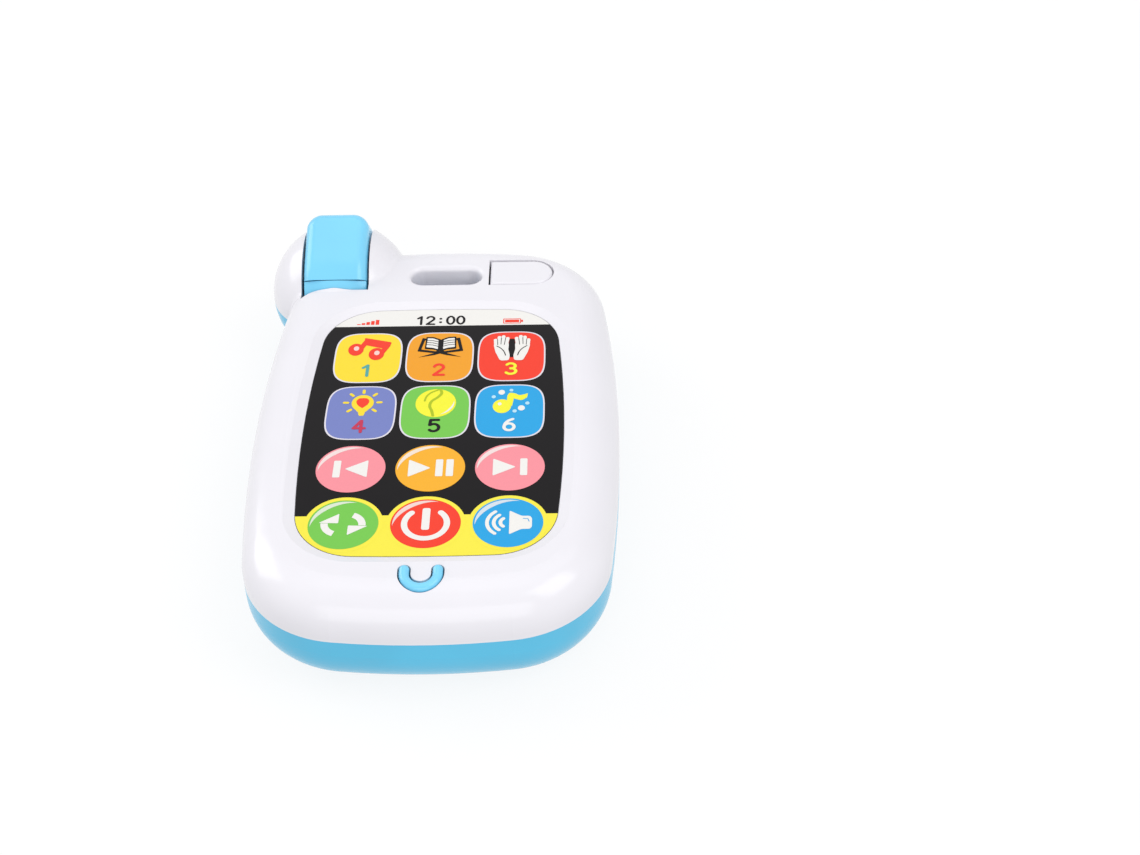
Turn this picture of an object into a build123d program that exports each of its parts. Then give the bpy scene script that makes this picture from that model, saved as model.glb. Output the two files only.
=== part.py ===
from build123d import *
import math
import os

# Toy cell phone with a tilting projector head in a round ear.
#
# Frame: millimetres, +Z up. The phone lies on its back. The origin is the centre of the
# body's outline, on the plane it rests on. +Y points to the end with the ear, the far end,
# and +X to the right.

os.makedirs("parts", exist_ok=True)

# ---------------------------------------------------------------- driving sizes
# housing
body_width = 94.0
body_length = 146.0
parting_height = 18.6  # joint line of the two shells, and height of the ear's centre
face_height = 30.5  # top of the front face
side_bow = 5.5  # how much each long side bulges
end_bow = 5.0  # how much each end bulges
corner_radius = 26.5
face_round = 10.0  # roundness of the front edge
base_round = 14.0  # roundness of the back edge
wall = 2.2
rib_bite = 0.6  # how far inner ribs and bosses run into the wall
lip_height = 1.5  # tongue of the back shell inside the front shell
lip_thickness = 0.9
lip_gap = 0.15
lip_ear_gap = 1.0  # the tongue stops this far from the ear
hair = 0.01  # overrun of a cut, and the distance that tells two edges apart

# ear with the projector head
ear_side_inset = 16.2  # from the body's left side to the ear's centre
ear_end_inset = 7.8  # and from its far end
ear_radius = 19.8
ear_blend = 2.2  # soft crease between ear and body
head_width = 17.6
head_radius = 19.4
head_side_gap = 0.6
head_gap = 0.45
well_wall = 1.6
well_floor = 1.8
head_aim = 45.0  # degrees above +Y that the nozzle points at rest
head_dip = 45.0  # degrees that the nozzle swings down from there
head_lift = 30.0  # and up
crown_reach = 52.0  # degrees that the head's crown runs past its seam
nozzle_reach = 20.0
nozzle_brow = 12.5  # height of the nozzle's face above its axis
nozzle_chin = 9.4  # and below it
nozzle_corner = 4.5
nozzle_round = 3.2
head_wall = 1.8
head_floor_gap = 0.6
nozzle_face = 3.6  # thickness of the nozzle's front wall
seam_gap = 0.2
mouth_diameter = 11.4
trunnion_diameter = 6.0
trunnion_bore = 3.0
trunnion_gap = 0.1
trunnion_flange = 1.0
trunnion_flange_rim = 1.5
trunnion_end = 1.0  # how far each trunnion runs past its bearing

# optics
barrel_gap = 0.3
barrel_length = 7.0
lens_gap = 0.2
lens_edge = 1.6
lens_crown = 1.4
lens_fit = 0.1
film_thickness = 0.4
film_gap = 0.1
reflector_depth = 7.0
reflector_wall = 0.8
reflector_foot = 1.4  # width of the ring round the lamp
led_diameter = 5.0
led_height = 4.0
led_round = 2.0
led_fit = 0.1

# window and printed screen
window_width = 66.0
chin_length = 17.8  # from the body's near end to the window
brow_length = 32.0  # and from the window to its far end
window_side_bow = 2.8
window_end_bow = 0.9
window_corner = 15.5
rim_drop = 1.0  # the screen's top lies this much below the face
rim_width = 2.6  # width of the bevel around the screen
screen_thickness = 0.6
screen_gap = 0.15
key_plate_thickness = 2.0
key_plate_margin = 2.0

# keys under the screen
key_pitch = 19.0
round_key_pitch = 19.6
first_row_drop = 21.0  # from the window's far end to the first row of keys
row_pitches = (22.6, 21.6, 19.8)
square_key_width = 13.0
square_key_length = 15.0
square_key_corner = 3.0
round_key_diameter = 13.0
key_side_gap = 0.25
key_flange = 1.1
key_flange_thickness = 0.8
key_flange_gap = 0.3
key_travel = 0.5
key_clearance = 0.2  # left over a dome when a key is down
key_stem_diameter = 5.0
key_stem_length = 1.0
dome_height = 1.4
dome_diameter = 8.5
dome_top_diameter = 5.5
mat_thickness = 1.0
mat_width = 56.0
mat_margin = 9.2  # mat beyond the outer key rows

# circuit board
board_thickness = 1.6
board_width = 60.0
board_near_margin = 2.2  # from the window's near end to the board
board_far_margin = 3.0  # and from the board to its far end
board_corner = 6.0
tongue_width = 30.0  # tongue to the smile button
arm_margin = 4.0  # board beside the switch of the projector button
chip_width = 8.0
chip_length = 10.0
chip_height = 1.6
chip_place = (18.0, 14.0)
memory_width = 5.0
memory_length = 6.0
memory_place = (20.0, 28.0)
blob_diameter = 12.0
blob_height = 1.4
blob_place = (-20.0, 24.0)
capacitor_diameter = 5.0
capacitor_height = 4.0
capacitor_x = 21.0

# buttons
button_travel = 0.8
button_side_gap = 0.35
button_flange = 1.2
button_flange_thickness = 0.9
button_clearance = 0.2
post_diameter = 4.0
switch_size = 6.0
switch_height = 1.8
switch_corner = 1.0
switch_skirt = 0.4
switch_tip = 0.2
smile_drop = 6.4  # from the window down to the centre of the smile's bend
smile_radius = 3.9
smile_leg = 1.2
smile_band = 2.4
smile_proud = 0.8
smile_edge = 1.1
smile_dip = 1.2  # the button's post starts this much lower, down the chin
smile_lean = 8.0  # degrees that the chin falls away at the smile
pill_slot_gap = 2.55  # from the strap slot to the oblong button
pill_end_inset = 16.3  # from the body's far end to its middle line
pill_length = 17.4
pill_width = 11.2
pill_end_gap = 0.4
pill_edge = 0.9

# strap slot through the body
strap_slot_inset = 17.5  # from the body's far end
strap_slot_length = 19.5
strap_slot_width = 7.2
strap_slot_wall = 1.8
strap_slot_edge = 1.4

# batteries (AAA) and their box
cell_length = 44.5
cell_diameter = 10.5
cell_pitch = 11.0
cell_count = 3
cell_round = 0.6
nub_diameter = 3.8
nub_length = 0.8
battery_y = -25.0
spring_room = 5.0
plate_room = 1.5
spring_pitch = 1.4
spring_length = 3.6
spring_radius = 3.2
spring_wire = 0.7
contact_thickness = 0.4
contact_width = 9.0
contact_gap = 0.1
box_wall = 1.5
cell_gap = 0.4
door_thickness = 1.8
door_corner = 3.0
door_ledge = 2.2
door_gap = 0.3
door_seat_gap = 0.05
door_lug = 4.5  # half-round lug for the door's screw
door_lug_height = 1.2
door_screw_grip = 8.0
door_head_gap = 0.15
groove_length = 18.0
groove_width = 1.0
groove_depth = 0.5
groove_pitch = 2.4
groove_count = 5
groove_offset = 8.0  # from the middle of the door

# speaker
speaker_y = 20.0
speaker_diameter = 30.0
speaker_gap = 0.3
speaker_collar = 1.0  # its ring stands this much higher than its flange
speaker_rim = 2.5
speaker_flange_thickness = 1.4
speaker_flange_step = 0.6
speaker_basket_diameter = 22.0
speaker_basket_height = 4.5
speaker_sheet = 0.8
cone_thickness = 0.5
cone_gap = 0.1
cap_radius = 4.0
cap_height = 2.2
cap_edge_height = 2.0
magnet_diameter = 15.0
magnet_height = 3.5
magnet_round = 0.5
magnet_seat = 1.0
gasket_thickness = 0.8
grille_hole = 2.0
grille_pitch = 3.6
grille_rings = 3

# screws
screw_diameter = 2.6
screw_head_diameter = 5.0
screw_head_height = 1.8
screw_fit = 0.05
screw_hole_gap = 0.1
screw_head_gap = 0.3
screw_tip_gap = 1.0  # a screw stops this far short of its hole's end
boss_diameter = 7.0
back_boss_diameter = 8.0
boss_gap = 0.3
screw_grip = 7.0  # depth of the pilot holes in the front shell's bosses
screw_sink = 6.0  # depth of the housing screws' heads in the back
near_screw_inset = (14.0, 19.0)  # from the sides and from the near end
side_screw_inset = 8.0
side_screw_y = 2.0
far_screw_inset = (10.0, 29.0)  # from the right side and from the far end
ear_screw_offset = (15.8, -22.2)  # from the ear's centre
board_hole_gap = 0.3
board_boss_diameter = 5.0
board_screw_length = 5.0
board_screw_inset = 5.0  # the far pair, from the board's end
board_screw_half = 24.0
tongue_screw_rise = 5.6  # the near pair, above the smile's centre
tongue_screw_half = 11.0

# ---------------------------------------------------------------- derived places
half_width = body_width / 2
far_end = body_length / 2
near_end = -body_length / 2

ear_x = ear_side_inset - half_width
ear_y = far_end - ear_end_inset
ear_centre = (ear_x, ear_y, parting_height)
slot_half = head_width / 2 + head_side_gap
floor_radius = parting_height - well_floor - head_floor_gap
back_flat = head_radius * math.sin(math.radians(crown_reach))

window_near = near_end + chin_length
window_far = far_end - brow_length
window_length = window_far - window_near
window_y = (window_near + window_far) / 2

key_rows = [window_far - first_row_drop - sum(row_pitches[:row]) for row in range(len(row_pitches) + 1)]
smile_y = window_near - smile_drop
strap_slot_y = far_end - strap_slot_inset
pill_x = strap_slot_length / 2 + pill_slot_gap
pill_y = far_end - pill_end_inset
pill_centre = pill_x + pill_length / 2

screen_top = face_height - rim_drop
screen_seat = screen_top - screen_thickness
plate_bottom = screen_seat - key_plate_thickness
face_inside = face_height - wall
flange_top = plate_bottom - key_flange_gap
dome_top = flange_top - key_flange_thickness - key_travel - key_clearance - key_stem_length
stem_bottom = dome_top + key_travel + key_clearance
mat_top = dome_top - dome_height
board_top = mat_top - mat_thickness
board_bottom = board_top - board_thickness

board_near = window_near + board_near_margin
board_far = window_far - board_far_margin
board_tip = smile_y - smile_radius - switch_size / 2
board_screw_places = (
    (board_screw_half, board_far - board_screw_inset),
    (-board_screw_half, board_far - board_screw_inset),
    (tongue_screw_half, smile_y + tongue_screw_rise),
    (-tongue_screw_half, smile_y + tongue_screw_rise),
)
housing_screw_places = (
    (half_width - near_screw_inset[0], near_end + near_screw_inset[1]),
    (near_screw_inset[0] - half_width, near_end + near_screw_inset[1]),
    (half_width - side_screw_inset, side_screw_y),
    (side_screw_inset - half_width, side_screw_y),
    (half_width - far_screw_inset[0], far_end - far_screw_inset[1]),
    (ear_x + ear_screw_offset[0], ear_y + ear_screw_offset[1]),
)
screw_pilot = screw_diameter / 2 + screw_fit
screw_head_seat = screw_sink + screw_head_height
boss_top = parting_height - boss_gap

cell_height = door_thickness + cell_gap + cell_diameter / 2
box_roof = cell_height + cell_diameter / 2 + cell_gap
box_length = cell_length + spring_room + plate_room
box_width = cell_count * cell_pitch + cell_gap
cell_centre_x = (spring_room - plate_room) / 2
cell_places = [battery_y + (number - (cell_count - 1) / 2) * cell_pitch for number in range(cell_count)]
door_width = box_length + 2 * door_ledge
door_length = box_width + 2 * door_ledge
door_screw_y = battery_y - door_length / 2
speaker_seat = wall + gasket_thickness

post_bottom = board_top + switch_height + button_travel + button_clearance
smile_depth = wall + button_side_gap
pill_depth = face_inside - button_side_gap

trunnion_inner = head_width / 2 - head_wall
trunnion_outer = slot_half + well_wall + trunnion_end
barrel_diameter = head_width - 2 * (head_wall + barrel_gap)
lens_diameter = barrel_diameter - 2 * lens_gap
lens_seat = nozzle_reach - nozzle_face
reflector_front = lens_seat - lens_edge - barrel_length - film_thickness - film_gap

aim = math.radians(head_aim)
# local x runs out of the nozzle, local y up towards the face side, local z along the axle
head_plane = Plane(origin=ear_centre, x_dir=(0, math.cos(aim), math.sin(aim)), z_dir=(1, 0, 0))
# local x runs to the far side, local y up, local z along the axle
axle_plane = Plane(origin=ear_centre, x_dir=(0, 1, 0), z_dir=(1, 0, 0))
# local z runs out of the nozzle
nozzle_plane = Plane(origin=ear_centre, x_dir=(1, 0, 0), z_dir=(0, math.cos(aim), math.sin(aim)))
# local x runs out of the nozzle, local z up
plan_plane = Plane(origin=ear_centre, x_dir=nozzle_plane.z_dir, z_dir=head_plane.y_dir)
lean = math.radians(smile_lean)
smile_plane = Plane(
    origin=(0, smile_y, face_height), x_dir=(1, 0, 0), z_dir=(0, -math.sin(lean), math.cos(lean))
)


def save(piece, name):
    """Label a finished piece and write it as its own file."""
    piece.part.label = name
    export_step(piece.part, f"parts/{name}.step")


# ---------------------------------------------------------------- shared outlines and forms
def bowed_rectangle(width, length, bow_side, bow_end, radius, grow):
    """Four shallow arcs joined by round corners, grown or shrunk all round."""
    half_w = width / 2 + grow
    half_l = length / 2 + grow
    x = half_w - bow_side
    y = half_l - bow_end
    with BuildSketch() as outline:
        with BuildLine():
            ThreePointArc((x, -y), (half_w, 0), (x, y))
            ThreePointArc((x, y), (0, half_l), (-x, y))
            ThreePointArc((-x, y), (-half_w, 0), (-x, -y))
            ThreePointArc((-x, -y), (0, -half_l), (x, -y))
        make_face()
        fillet(outline.vertices(), radius + grow)
    return outline.sketch


def body_outline(grow=0.0):
    return bowed_rectangle(body_width, body_length, side_bow, end_bow, corner_radius, grow)


def window_outline(grow=0.0):
    with BuildSketch() as outline:
        with Locations((0, window_y)):
            add(
                bowed_rectangle(
                    window_width, window_length, window_side_bow, window_end_bow, window_corner, grow
                )
            )
    return outline.sketch


def front_form(inset):
    """Outside of the front half, moved in by inset: rounded slab and upper half of the ear."""
    with BuildPart() as form:
        with BuildSketch(Plane.XY.offset(parting_height)):
            add(body_outline(-inset))
        extrude(amount=face_height - inset - parting_height)
        fillet(form.faces().sort_by(Axis.Z)[-1].edges(), face_round - inset)
        with Locations(ear_centre):
            Sphere(ear_radius - inset, arc_size1=0, align=(Align.CENTER, Align.CENTER, Align.NONE))
        crease = form.edges(Select.NEW).filter_by(lambda e: e.center().Z > parting_height + hair)
        if inset == 0:
            fillet(crease, ear_blend)
    return form.part


def back_form(inset):
    """Outside of the back half, moved in by inset: rounded tray and lower half of the ear."""
    with BuildPart() as form:
        with BuildSketch(Plane.XY.offset(parting_height)):
            add(body_outline(-inset))
        extrude(amount=-(parting_height - inset))
        fillet(form.faces().sort_by(Axis.Z)[0].edges(), base_round - inset)
        with Locations(ear_centre):
            Sphere(ear_radius - inset, arc_size2=0, align=(Align.CENTER, Align.CENTER, Align.NONE))
        split(bisect_by=Plane.XY.offset(inset), keep=Keep.TOP)
    return form.part


def head_well(extra):
    """A slice of a drum around the head, grown by extra: the walls of its well."""
    with BuildPart() as form:
        with BuildSketch(axle_plane):
            Circle(head_radius + head_gap + extra)
        extrude(amount=slot_half + extra, both=True)
    return form.part


def turned(along, up, angle):
    """A place in the axle's plane, given along and up from a line turned by angle degrees."""
    c = math.cos(math.radians(angle))
    s = math.sin(math.radians(angle))
    return (along * c - up * s, along * s + up * c)


def well_room():
    """Room that the head turns in: a drum for its front, a ball for its back, a smaller drum below."""
    low = head_aim - head_dip
    high = head_aim + head_lift
    chin = nozzle_chin + head_gap
    back = back_flat + head_gap
    far = 3 * ear_radius
    with BuildPart() as front:
        add(head_well(0))
        with BuildSketch(axle_plane):
            with BuildLine():
                Polyline(
                    turned(0, -chin, low),
                    turned(far, -chin, low),
                    turned(far, far, low),
                    turned(-far, far, low),
                    turned(-head_gap, far, high),
                    turned(-head_gap, 0, high),
                    close=True,
                )
            make_face()
        extrude(amount=slot_half, both=True, mode=Mode.INTERSECT)
    with BuildPart() as rear:
        with BuildSketch(axle_plane):
            with BuildLine():
                Polyline(
                    turned(0, 0, low),
                    turned(0, far, low),
                    turned(-far, far, low),
                    turned(-back, far, high),
                    turned(-back, 0, high),
                    close=True,
                )
            make_face()
        extrude(amount=slot_half, both=True)
        with Locations(ear_centre):
            Sphere(head_radius + head_gap, mode=Mode.INTERSECT)
    with BuildPart() as form:
        add(front.part)
        add(rear.part)
        with BuildSketch(axle_plane):
            Circle(floor_radius + head_gap)
        extrude(amount=slot_half, both=True)
    return form.part


def nozzle_sweep():
    """The sector that the nozzle sweeps through, from one end of its swing to the other."""
    rim = math.hypot(nozzle_reach, nozzle_brow) + head_gap
    chin_angle = math.degrees(math.atan2(nozzle_chin + head_gap, nozzle_reach - nozzle_round))
    brow_angle = math.degrees(math.atan2(nozzle_brow + head_gap, nozzle_reach - nozzle_round))
    with BuildPart() as form:
        with BuildSketch(head_plane):
            with BuildLine():
                start = PolarLine((0, 0), rim, -head_dip - chin_angle)
                end = PolarLine((0, 0), rim, head_lift + brow_angle)
                ThreePointArc(start @ 1, (rim, 0), end @ 1)
            make_face()
        extrude(amount=slot_half, both=True)
    return form.part


def square_key_outline(grow=0.0):
    with BuildSketch() as outline:
        RectangleRounded(
            square_key_width + 2 * grow, square_key_length + 2 * grow, square_key_corner + grow
        )
    return outline.sketch


def round_key_outline(grow=0.0):
    with BuildSketch() as outline:
        Circle(round_key_diameter / 2 + grow)
    return outline.sketch


def smile_outline(grow=0.0):
    """A smiling mouth: half a ring with two short legs and round ends."""
    with BuildSketch() as outline:
        with BuildLine() as path:
            leg = Line((-smile_radius, smile_leg), (-smile_radius, 0))
            bend = RadiusArc(leg @ 1, (smile_radius, 0), -smile_radius)
            Line(bend @ 1, (smile_radius, smile_leg))
        trace(line_width=smile_band + 2 * grow)
        with Locations((-smile_radius, smile_leg), (smile_radius, smile_leg)):
            Circle(smile_band / 2 + grow)
    return outline.sketch


def pill_outline(grow=0.0, end_grow=0.0):
    """Oblong with a straight left end and a half-round right end."""
    half = pill_width / 2
    with BuildSketch() as outline:
        with Locations((pill_x + pill_length - half, pill_y)):
            Circle(half + grow)
        left = pill_x - end_grow
        right = pill_x + pill_length - half
        with Locations(((left + right) / 2, pill_y)):
            Rectangle(right - left, pill_width + 2 * grow)
    return outline.sketch


def strap_slot(grow=0.0):
    with BuildSketch() as outline:
        with Locations((0, strap_slot_y)):
            SlotOverall(strap_slot_length + 2 * grow, strap_slot_width + 2 * grow)
    return outline.sketch


def trunnion_bearing():
    """Bore for the head's trunnions, half of it in each shell."""
    with BuildPart() as form:
        with BuildSketch(axle_plane):
            Circle(trunnion_diameter / 2 + trunnion_gap)
        extrude(amount=slot_half + 2 * well_wall, both=True)
    return form.part


def lip_ring(inner, outer, height):
    """Closed band between two parallels of the body's outline, open at the ear."""
    with BuildPart() as form:
        with BuildSketch(Plane.XY.offset(parting_height)):
            add(body_outline(-outer))
            add(body_outline(-inner), mode=Mode.SUBTRACT)
        extrude(amount=height)
        with Locations(ear_centre):
            Cylinder(ear_radius + lip_ear_gap, 4 * height, mode=Mode.SUBTRACT)
    return form.part


def key_places():
    """Name, place and outline of every key, row by row from the ear's end."""
    names = (
        ("key_melody", "key_story", "key_hands"),
        ("key_light", "key_nature", "key_nursery"),
        ("key_previous", "key_play", "key_next"),
        ("key_repeat", "key_power", "key_volume"),
    )
    for row, (row_names, y) in enumerate(zip(names, key_rows)):
        square = row < 2
        pitch = key_pitch if square else round_key_pitch
        outline = square_key_outline if square else round_key_outline
        for column, name in enumerate(row_names):
            yield name, ((column - 1) * pitch, y), outline


front_outer = front_form(0)
back_outer = back_form(0)
front_cavity = front_form(wall)
back_cavity = back_form(wall)
well_inner = well_room()
well_outer = head_well(well_wall)
sweep_room = nozzle_sweep()
bearing = trunnion_bearing()

# ---------------------------------------------------------------- front shell
with BuildPart() as front_ribs:
    # plate under the screen, strap tunnel, screw bosses and board posts, before trimming
    with BuildSketch(Plane.XY.offset(plate_bottom)):
        add(window_outline(key_plate_margin))
    extrude(amount=screen_seat - plate_bottom)
    with BuildSketch(Plane.XY.offset(parting_height)):
        add(strap_slot(strap_slot_wall))
    extrude(amount=face_height - parting_height)
    with BuildSketch(Plane.XY.offset(parting_height)):
        with Locations(*housing_screw_places):
            Circle(boss_diameter / 2)
    extrude(amount=face_height - parting_height)
    with BuildSketch(Plane.XY.offset(board_top)):
        with Locations(*board_screw_places):
            Circle(board_boss_diameter / 2)
    extrude(amount=screen_seat - board_top)
    add(well_outer)
    add(front_form(wall - rib_bite), mode=Mode.INTERSECT)

with BuildPart() as rim_bevel:
    # funnel from the face down to the screen, run on to twice its height to cut clean
    with BuildSketch(Plane.XY.offset(screen_top)):
        add(window_outline())
    with BuildSketch(Plane.XY.offset(screen_top + 2 * rim_drop)):
        add(window_outline(2 * rim_width))
    loft(ruled=True)

with BuildPart() as front_shell:
    add(front_outer)
    add(front_cavity, mode=Mode.SUBTRACT)
    add(front_ribs.part)
    # recess of the screen, with the bevelled rim around it
    with BuildSketch(Plane.XY.offset(screen_seat)):
        add(window_outline())
    extrude(amount=face_height - screen_seat, mode=Mode.SUBTRACT)
    add(rim_bevel.part, mode=Mode.SUBTRACT)
    # key holes
    for name, place, outline in key_places():
        with BuildSketch(Plane.XY.offset(plate_bottom)):
            with Locations(place):
                add(outline(key_side_gap))
        extrude(amount=screen_seat - plate_bottom, mode=Mode.SUBTRACT)
    # strap slot
    with BuildSketch(Plane.XY.offset(parting_height)):
        add(strap_slot())
    extrude(amount=face_height - parting_height, mode=Mode.SUBTRACT)
    fillet(front_shell.edges(Select.LAST).group_by(Axis.Z)[-1], strap_slot_edge)
    # button openings
    with BuildSketch(Plane.XY.offset(face_inside)):
        add(pill_outline(button_side_gap, pill_end_gap))
    extrude(amount=face_height, mode=Mode.SUBTRACT)
    with BuildSketch(smile_plane):
        add(smile_outline(button_side_gap))
    extrude(amount=2 * wall, both=True, mode=Mode.SUBTRACT)
    # pockets for the buttons' flanges
    with BuildSketch(Plane.XY.offset(face_inside)):
        add(pill_outline(button_flange + button_side_gap, button_clearance))
    extrude(amount=-2 * button_flange_thickness, mode=Mode.SUBTRACT)
    with BuildSketch(smile_plane.offset(-wall)):
        add(smile_outline(button_flange + button_side_gap))
    extrude(amount=-4 * button_flange_thickness, mode=Mode.SUBTRACT)
    # room for the head, its trunnions and the back shell's lip
    add(well_inner, mode=Mode.SUBTRACT)
    add(sweep_room, mode=Mode.SUBTRACT)
    add(bearing, mode=Mode.SUBTRACT)
    lip_room = lip_ring(wall + hair, wall - lip_thickness - 2 * lip_gap, lip_height + lip_gap)
    add(lip_room, mode=Mode.SUBTRACT)
    # pilot holes
    with BuildSketch(Plane.XY.offset(parting_height)):
        with Locations(*housing_screw_places):
            Circle(screw_pilot)
    extrude(amount=screw_grip, mode=Mode.SUBTRACT)
    with BuildSketch(Plane.XY.offset(board_top)):
        with Locations(*board_screw_places):
            Circle(screw_pilot)
    extrude(amount=plate_bottom - board_top, mode=Mode.SUBTRACT)
save(front_shell, "front_shell")

# ---------------------------------------------------------------- back shell
def door_outline(grow=0.0):
    """Rounded rectangle with a half-round lug for the screw at its near side."""
    with BuildSketch() as outline:
        with Locations((0, battery_y)):
            RectangleRounded(door_width + 2 * grow, door_length + 2 * grow, door_corner + grow)
        with Locations((0, door_screw_y)):
            Circle(door_lug + grow)
    return outline.sketch


def grille_places():
    """Centres of the speaker holes: one in the middle and rings of six, twelve and so on."""
    places = [(0, speaker_y)]
    for ring in range(1, grille_rings + 1):
        for step in range(6 * ring):
            angle = math.tau * step / (6 * ring)
            places.append(
                (ring * grille_pitch * math.cos(angle), speaker_y + ring * grille_pitch * math.sin(angle))
            )
    return places


with BuildPart() as back_ribs:
    # battery box, strap tunnel, speaker ring, screw bosses and head well, before trimming
    with BuildSketch():
        with Locations((0, battery_y)):
            Rectangle(box_length + 2 * box_wall, box_width + 2 * box_wall)
    extrude(amount=box_roof + box_wall)
    with BuildSketch():
        add(door_outline(box_wall + door_gap))
    extrude(amount=door_thickness + door_ledge)
    with BuildSketch():
        add(strap_slot(strap_slot_wall))
    extrude(amount=parting_height)
    with BuildSketch():
        with Locations((0, speaker_y)):
            Circle(speaker_diameter / 2 + speaker_gap + box_wall)
            Circle(speaker_diameter / 2 + speaker_gap, mode=Mode.SUBTRACT)
    extrude(amount=speaker_seat + speaker_flange_thickness + speaker_collar)
    with BuildSketch():
        with Locations(*housing_screw_places):
            Circle(back_boss_diameter / 2)
        with Locations((0, door_screw_y)):
            Circle(boss_diameter / 2)
    extrude(amount=boss_top)
    add(well_outer)
    add(back_form(wall - rib_bite), mode=Mode.INTERSECT)

with BuildPart() as back_shell:
    add(back_outer)
    add(back_cavity, mode=Mode.SUBTRACT)
    add(back_ribs.part)
    add(lip_ring(wall, wall - lip_thickness, lip_height))
    # battery box and door recess
    with BuildSketch():
        with Locations((0, battery_y)):
            Rectangle(box_length, box_width)
    extrude(amount=box_roof, mode=Mode.SUBTRACT)
    with BuildSketch():
        add(door_outline(door_gap))
    extrude(amount=door_thickness + door_seat_gap, mode=Mode.SUBTRACT)
    with BuildSketch():
        with Locations((0, door_screw_y)):
            Circle(door_lug)
    extrude(amount=door_thickness + door_lug_height + door_gap, mode=Mode.SUBTRACT)
    # strap slot
    with BuildSketch():
        add(strap_slot())
    extrude(amount=parting_height, mode=Mode.SUBTRACT)
    fillet(back_shell.edges(Select.LAST).group_by(Axis.Z)[0], strap_slot_edge)
    # speaker holes
    with BuildSketch():
        with Locations(*grille_places()):
            Circle(grille_hole / 2)
    extrude(amount=wall, mode=Mode.SUBTRACT)
    # screw holes with sunk heads
    with BuildSketch():
        with Locations(*housing_screw_places):
            Circle(screw_head_diameter / 2 + screw_head_gap)
    extrude(amount=screw_head_seat, mode=Mode.SUBTRACT)
    with BuildSketch():
        with Locations(*housing_screw_places, (0, door_screw_y)):
            Circle(screw_diameter / 2 + screw_hole_gap)
    extrude(amount=boss_top, mode=Mode.SUBTRACT)
    # room for the head and its trunnions
    add(well_inner, mode=Mode.SUBTRACT)
    add(sweep_room, mode=Mode.SUBTRACT)
    add(bearing, mode=Mode.SUBTRACT)
save(back_shell, "back_shell")

# ---------------------------------------------------------------- screen and keys
with BuildPart() as screen_overlay:
    with BuildSketch(Plane.XY.offset(screen_seat)):
        add(window_outline(-screen_gap))
    extrude(amount=screen_thickness)
save(screen_overlay, "screen_overlay")

for name, place, outline in key_places():
    with BuildPart() as key:
        with BuildSketch(Plane.XY.offset(flange_top - key_flange_thickness)):
            with Locations(place):
                add(outline(key_flange))
        extrude(amount=key_flange_thickness)
        with BuildSketch(Plane.XY.offset(flange_top)):
            with Locations(place):
                add(outline())
        extrude(amount=screen_seat - key_side_gap - flange_top)
        with BuildSketch(Plane.XY.offset(stem_bottom)):
            with Locations(place):
                Circle(key_stem_diameter / 2)
        extrude(amount=flange_top - stem_bottom)
    save(key, name)

with BuildPart() as keypad_mat:
    mat_near = key_rows[-1] - mat_margin
    mat_far = key_rows[0] + mat_margin
    with BuildSketch(Plane.XY.offset(board_top)):
        with Locations((0, (mat_near + mat_far) / 2)):
            RectangleRounded(mat_width, mat_far - mat_near, square_key_corner)
    extrude(amount=mat_thickness)
    for name, place, outline in key_places():
        with BuildSketch(Plane.XY.offset(mat_top)):
            with Locations(place):
                Circle(dome_diameter / 2)
        with BuildSketch(Plane.XY.offset(dome_top)):
            with Locations(place):
                Circle(dome_top_diameter / 2)
        loft()
save(keypad_mat, "keypad_mat")

# ---------------------------------------------------------------- circuit board
with BuildPart() as main_board:
    with BuildSketch(Plane.XY.offset(board_bottom)):
        with Locations((0, (board_near + board_far) / 2)):
            RectangleRounded(board_width, board_far - board_near, board_corner)
        # arm to the button beside the strap slot, and tongue to the smile button
        with Locations((pill_centre, (board_far - board_corner + pill_y + switch_size) / 2)):
            Rectangle(switch_size + 2 * arm_margin, pill_y + switch_size - board_far + board_corner)
        with Locations((0, (board_tip + board_near + board_corner) / 2)):
            Rectangle(tongue_width, board_near + board_corner - board_tip)
        with Locations(*board_screw_places):
            Circle(screw_diameter / 2 + board_hole_gap, mode=Mode.SUBTRACT)
    extrude(amount=board_thickness)
save(main_board, "main_board")

# chips under the board: sound chip, memory, a round blob and two capacitors
with BuildPart() as board_chips:
    with BuildSketch(Plane.XY.offset(board_bottom)):
        with Locations(chip_place):
            Rectangle(chip_width, chip_length)
        with Locations(memory_place):
            Rectangle(memory_width, memory_length)
    extrude(amount=-chip_height)
    with BuildSketch(Plane.XY.offset(board_bottom)):
        with Locations(blob_place):
            Circle(blob_diameter / 2)
    extrude(amount=-blob_height)
    with BuildSketch(Plane.XY.offset(board_bottom)):
        with Locations((capacitor_x, 0), (-capacitor_x, 0)):
            Circle(capacitor_diameter / 2)
    extrude(amount=-capacitor_height)
save(board_chips, "board_chips")

# ---------------------------------------------------------------- buttons
with BuildPart() as smile_button:
    with BuildSketch(smile_plane.offset(-smile_depth)):
        add(smile_outline())
    extrude(amount=smile_depth + smile_proud)
    fillet(smile_button.faces().sort_by(Axis.Z)[-1].edges(), smile_edge)
    with BuildSketch(smile_plane.offset(-smile_depth)):
        add(smile_outline(button_flange))
    extrude(amount=-button_flange_thickness)
    with BuildSketch(smile_plane.offset(-smile_depth - button_flange_thickness)):
        with Locations((0, -smile_radius)):
            Circle(post_diameter / 2)
    extrude(amount=post_bottom + smile_dip + button_flange_thickness + smile_depth - face_height)
save(smile_button, "smile_button")

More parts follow.
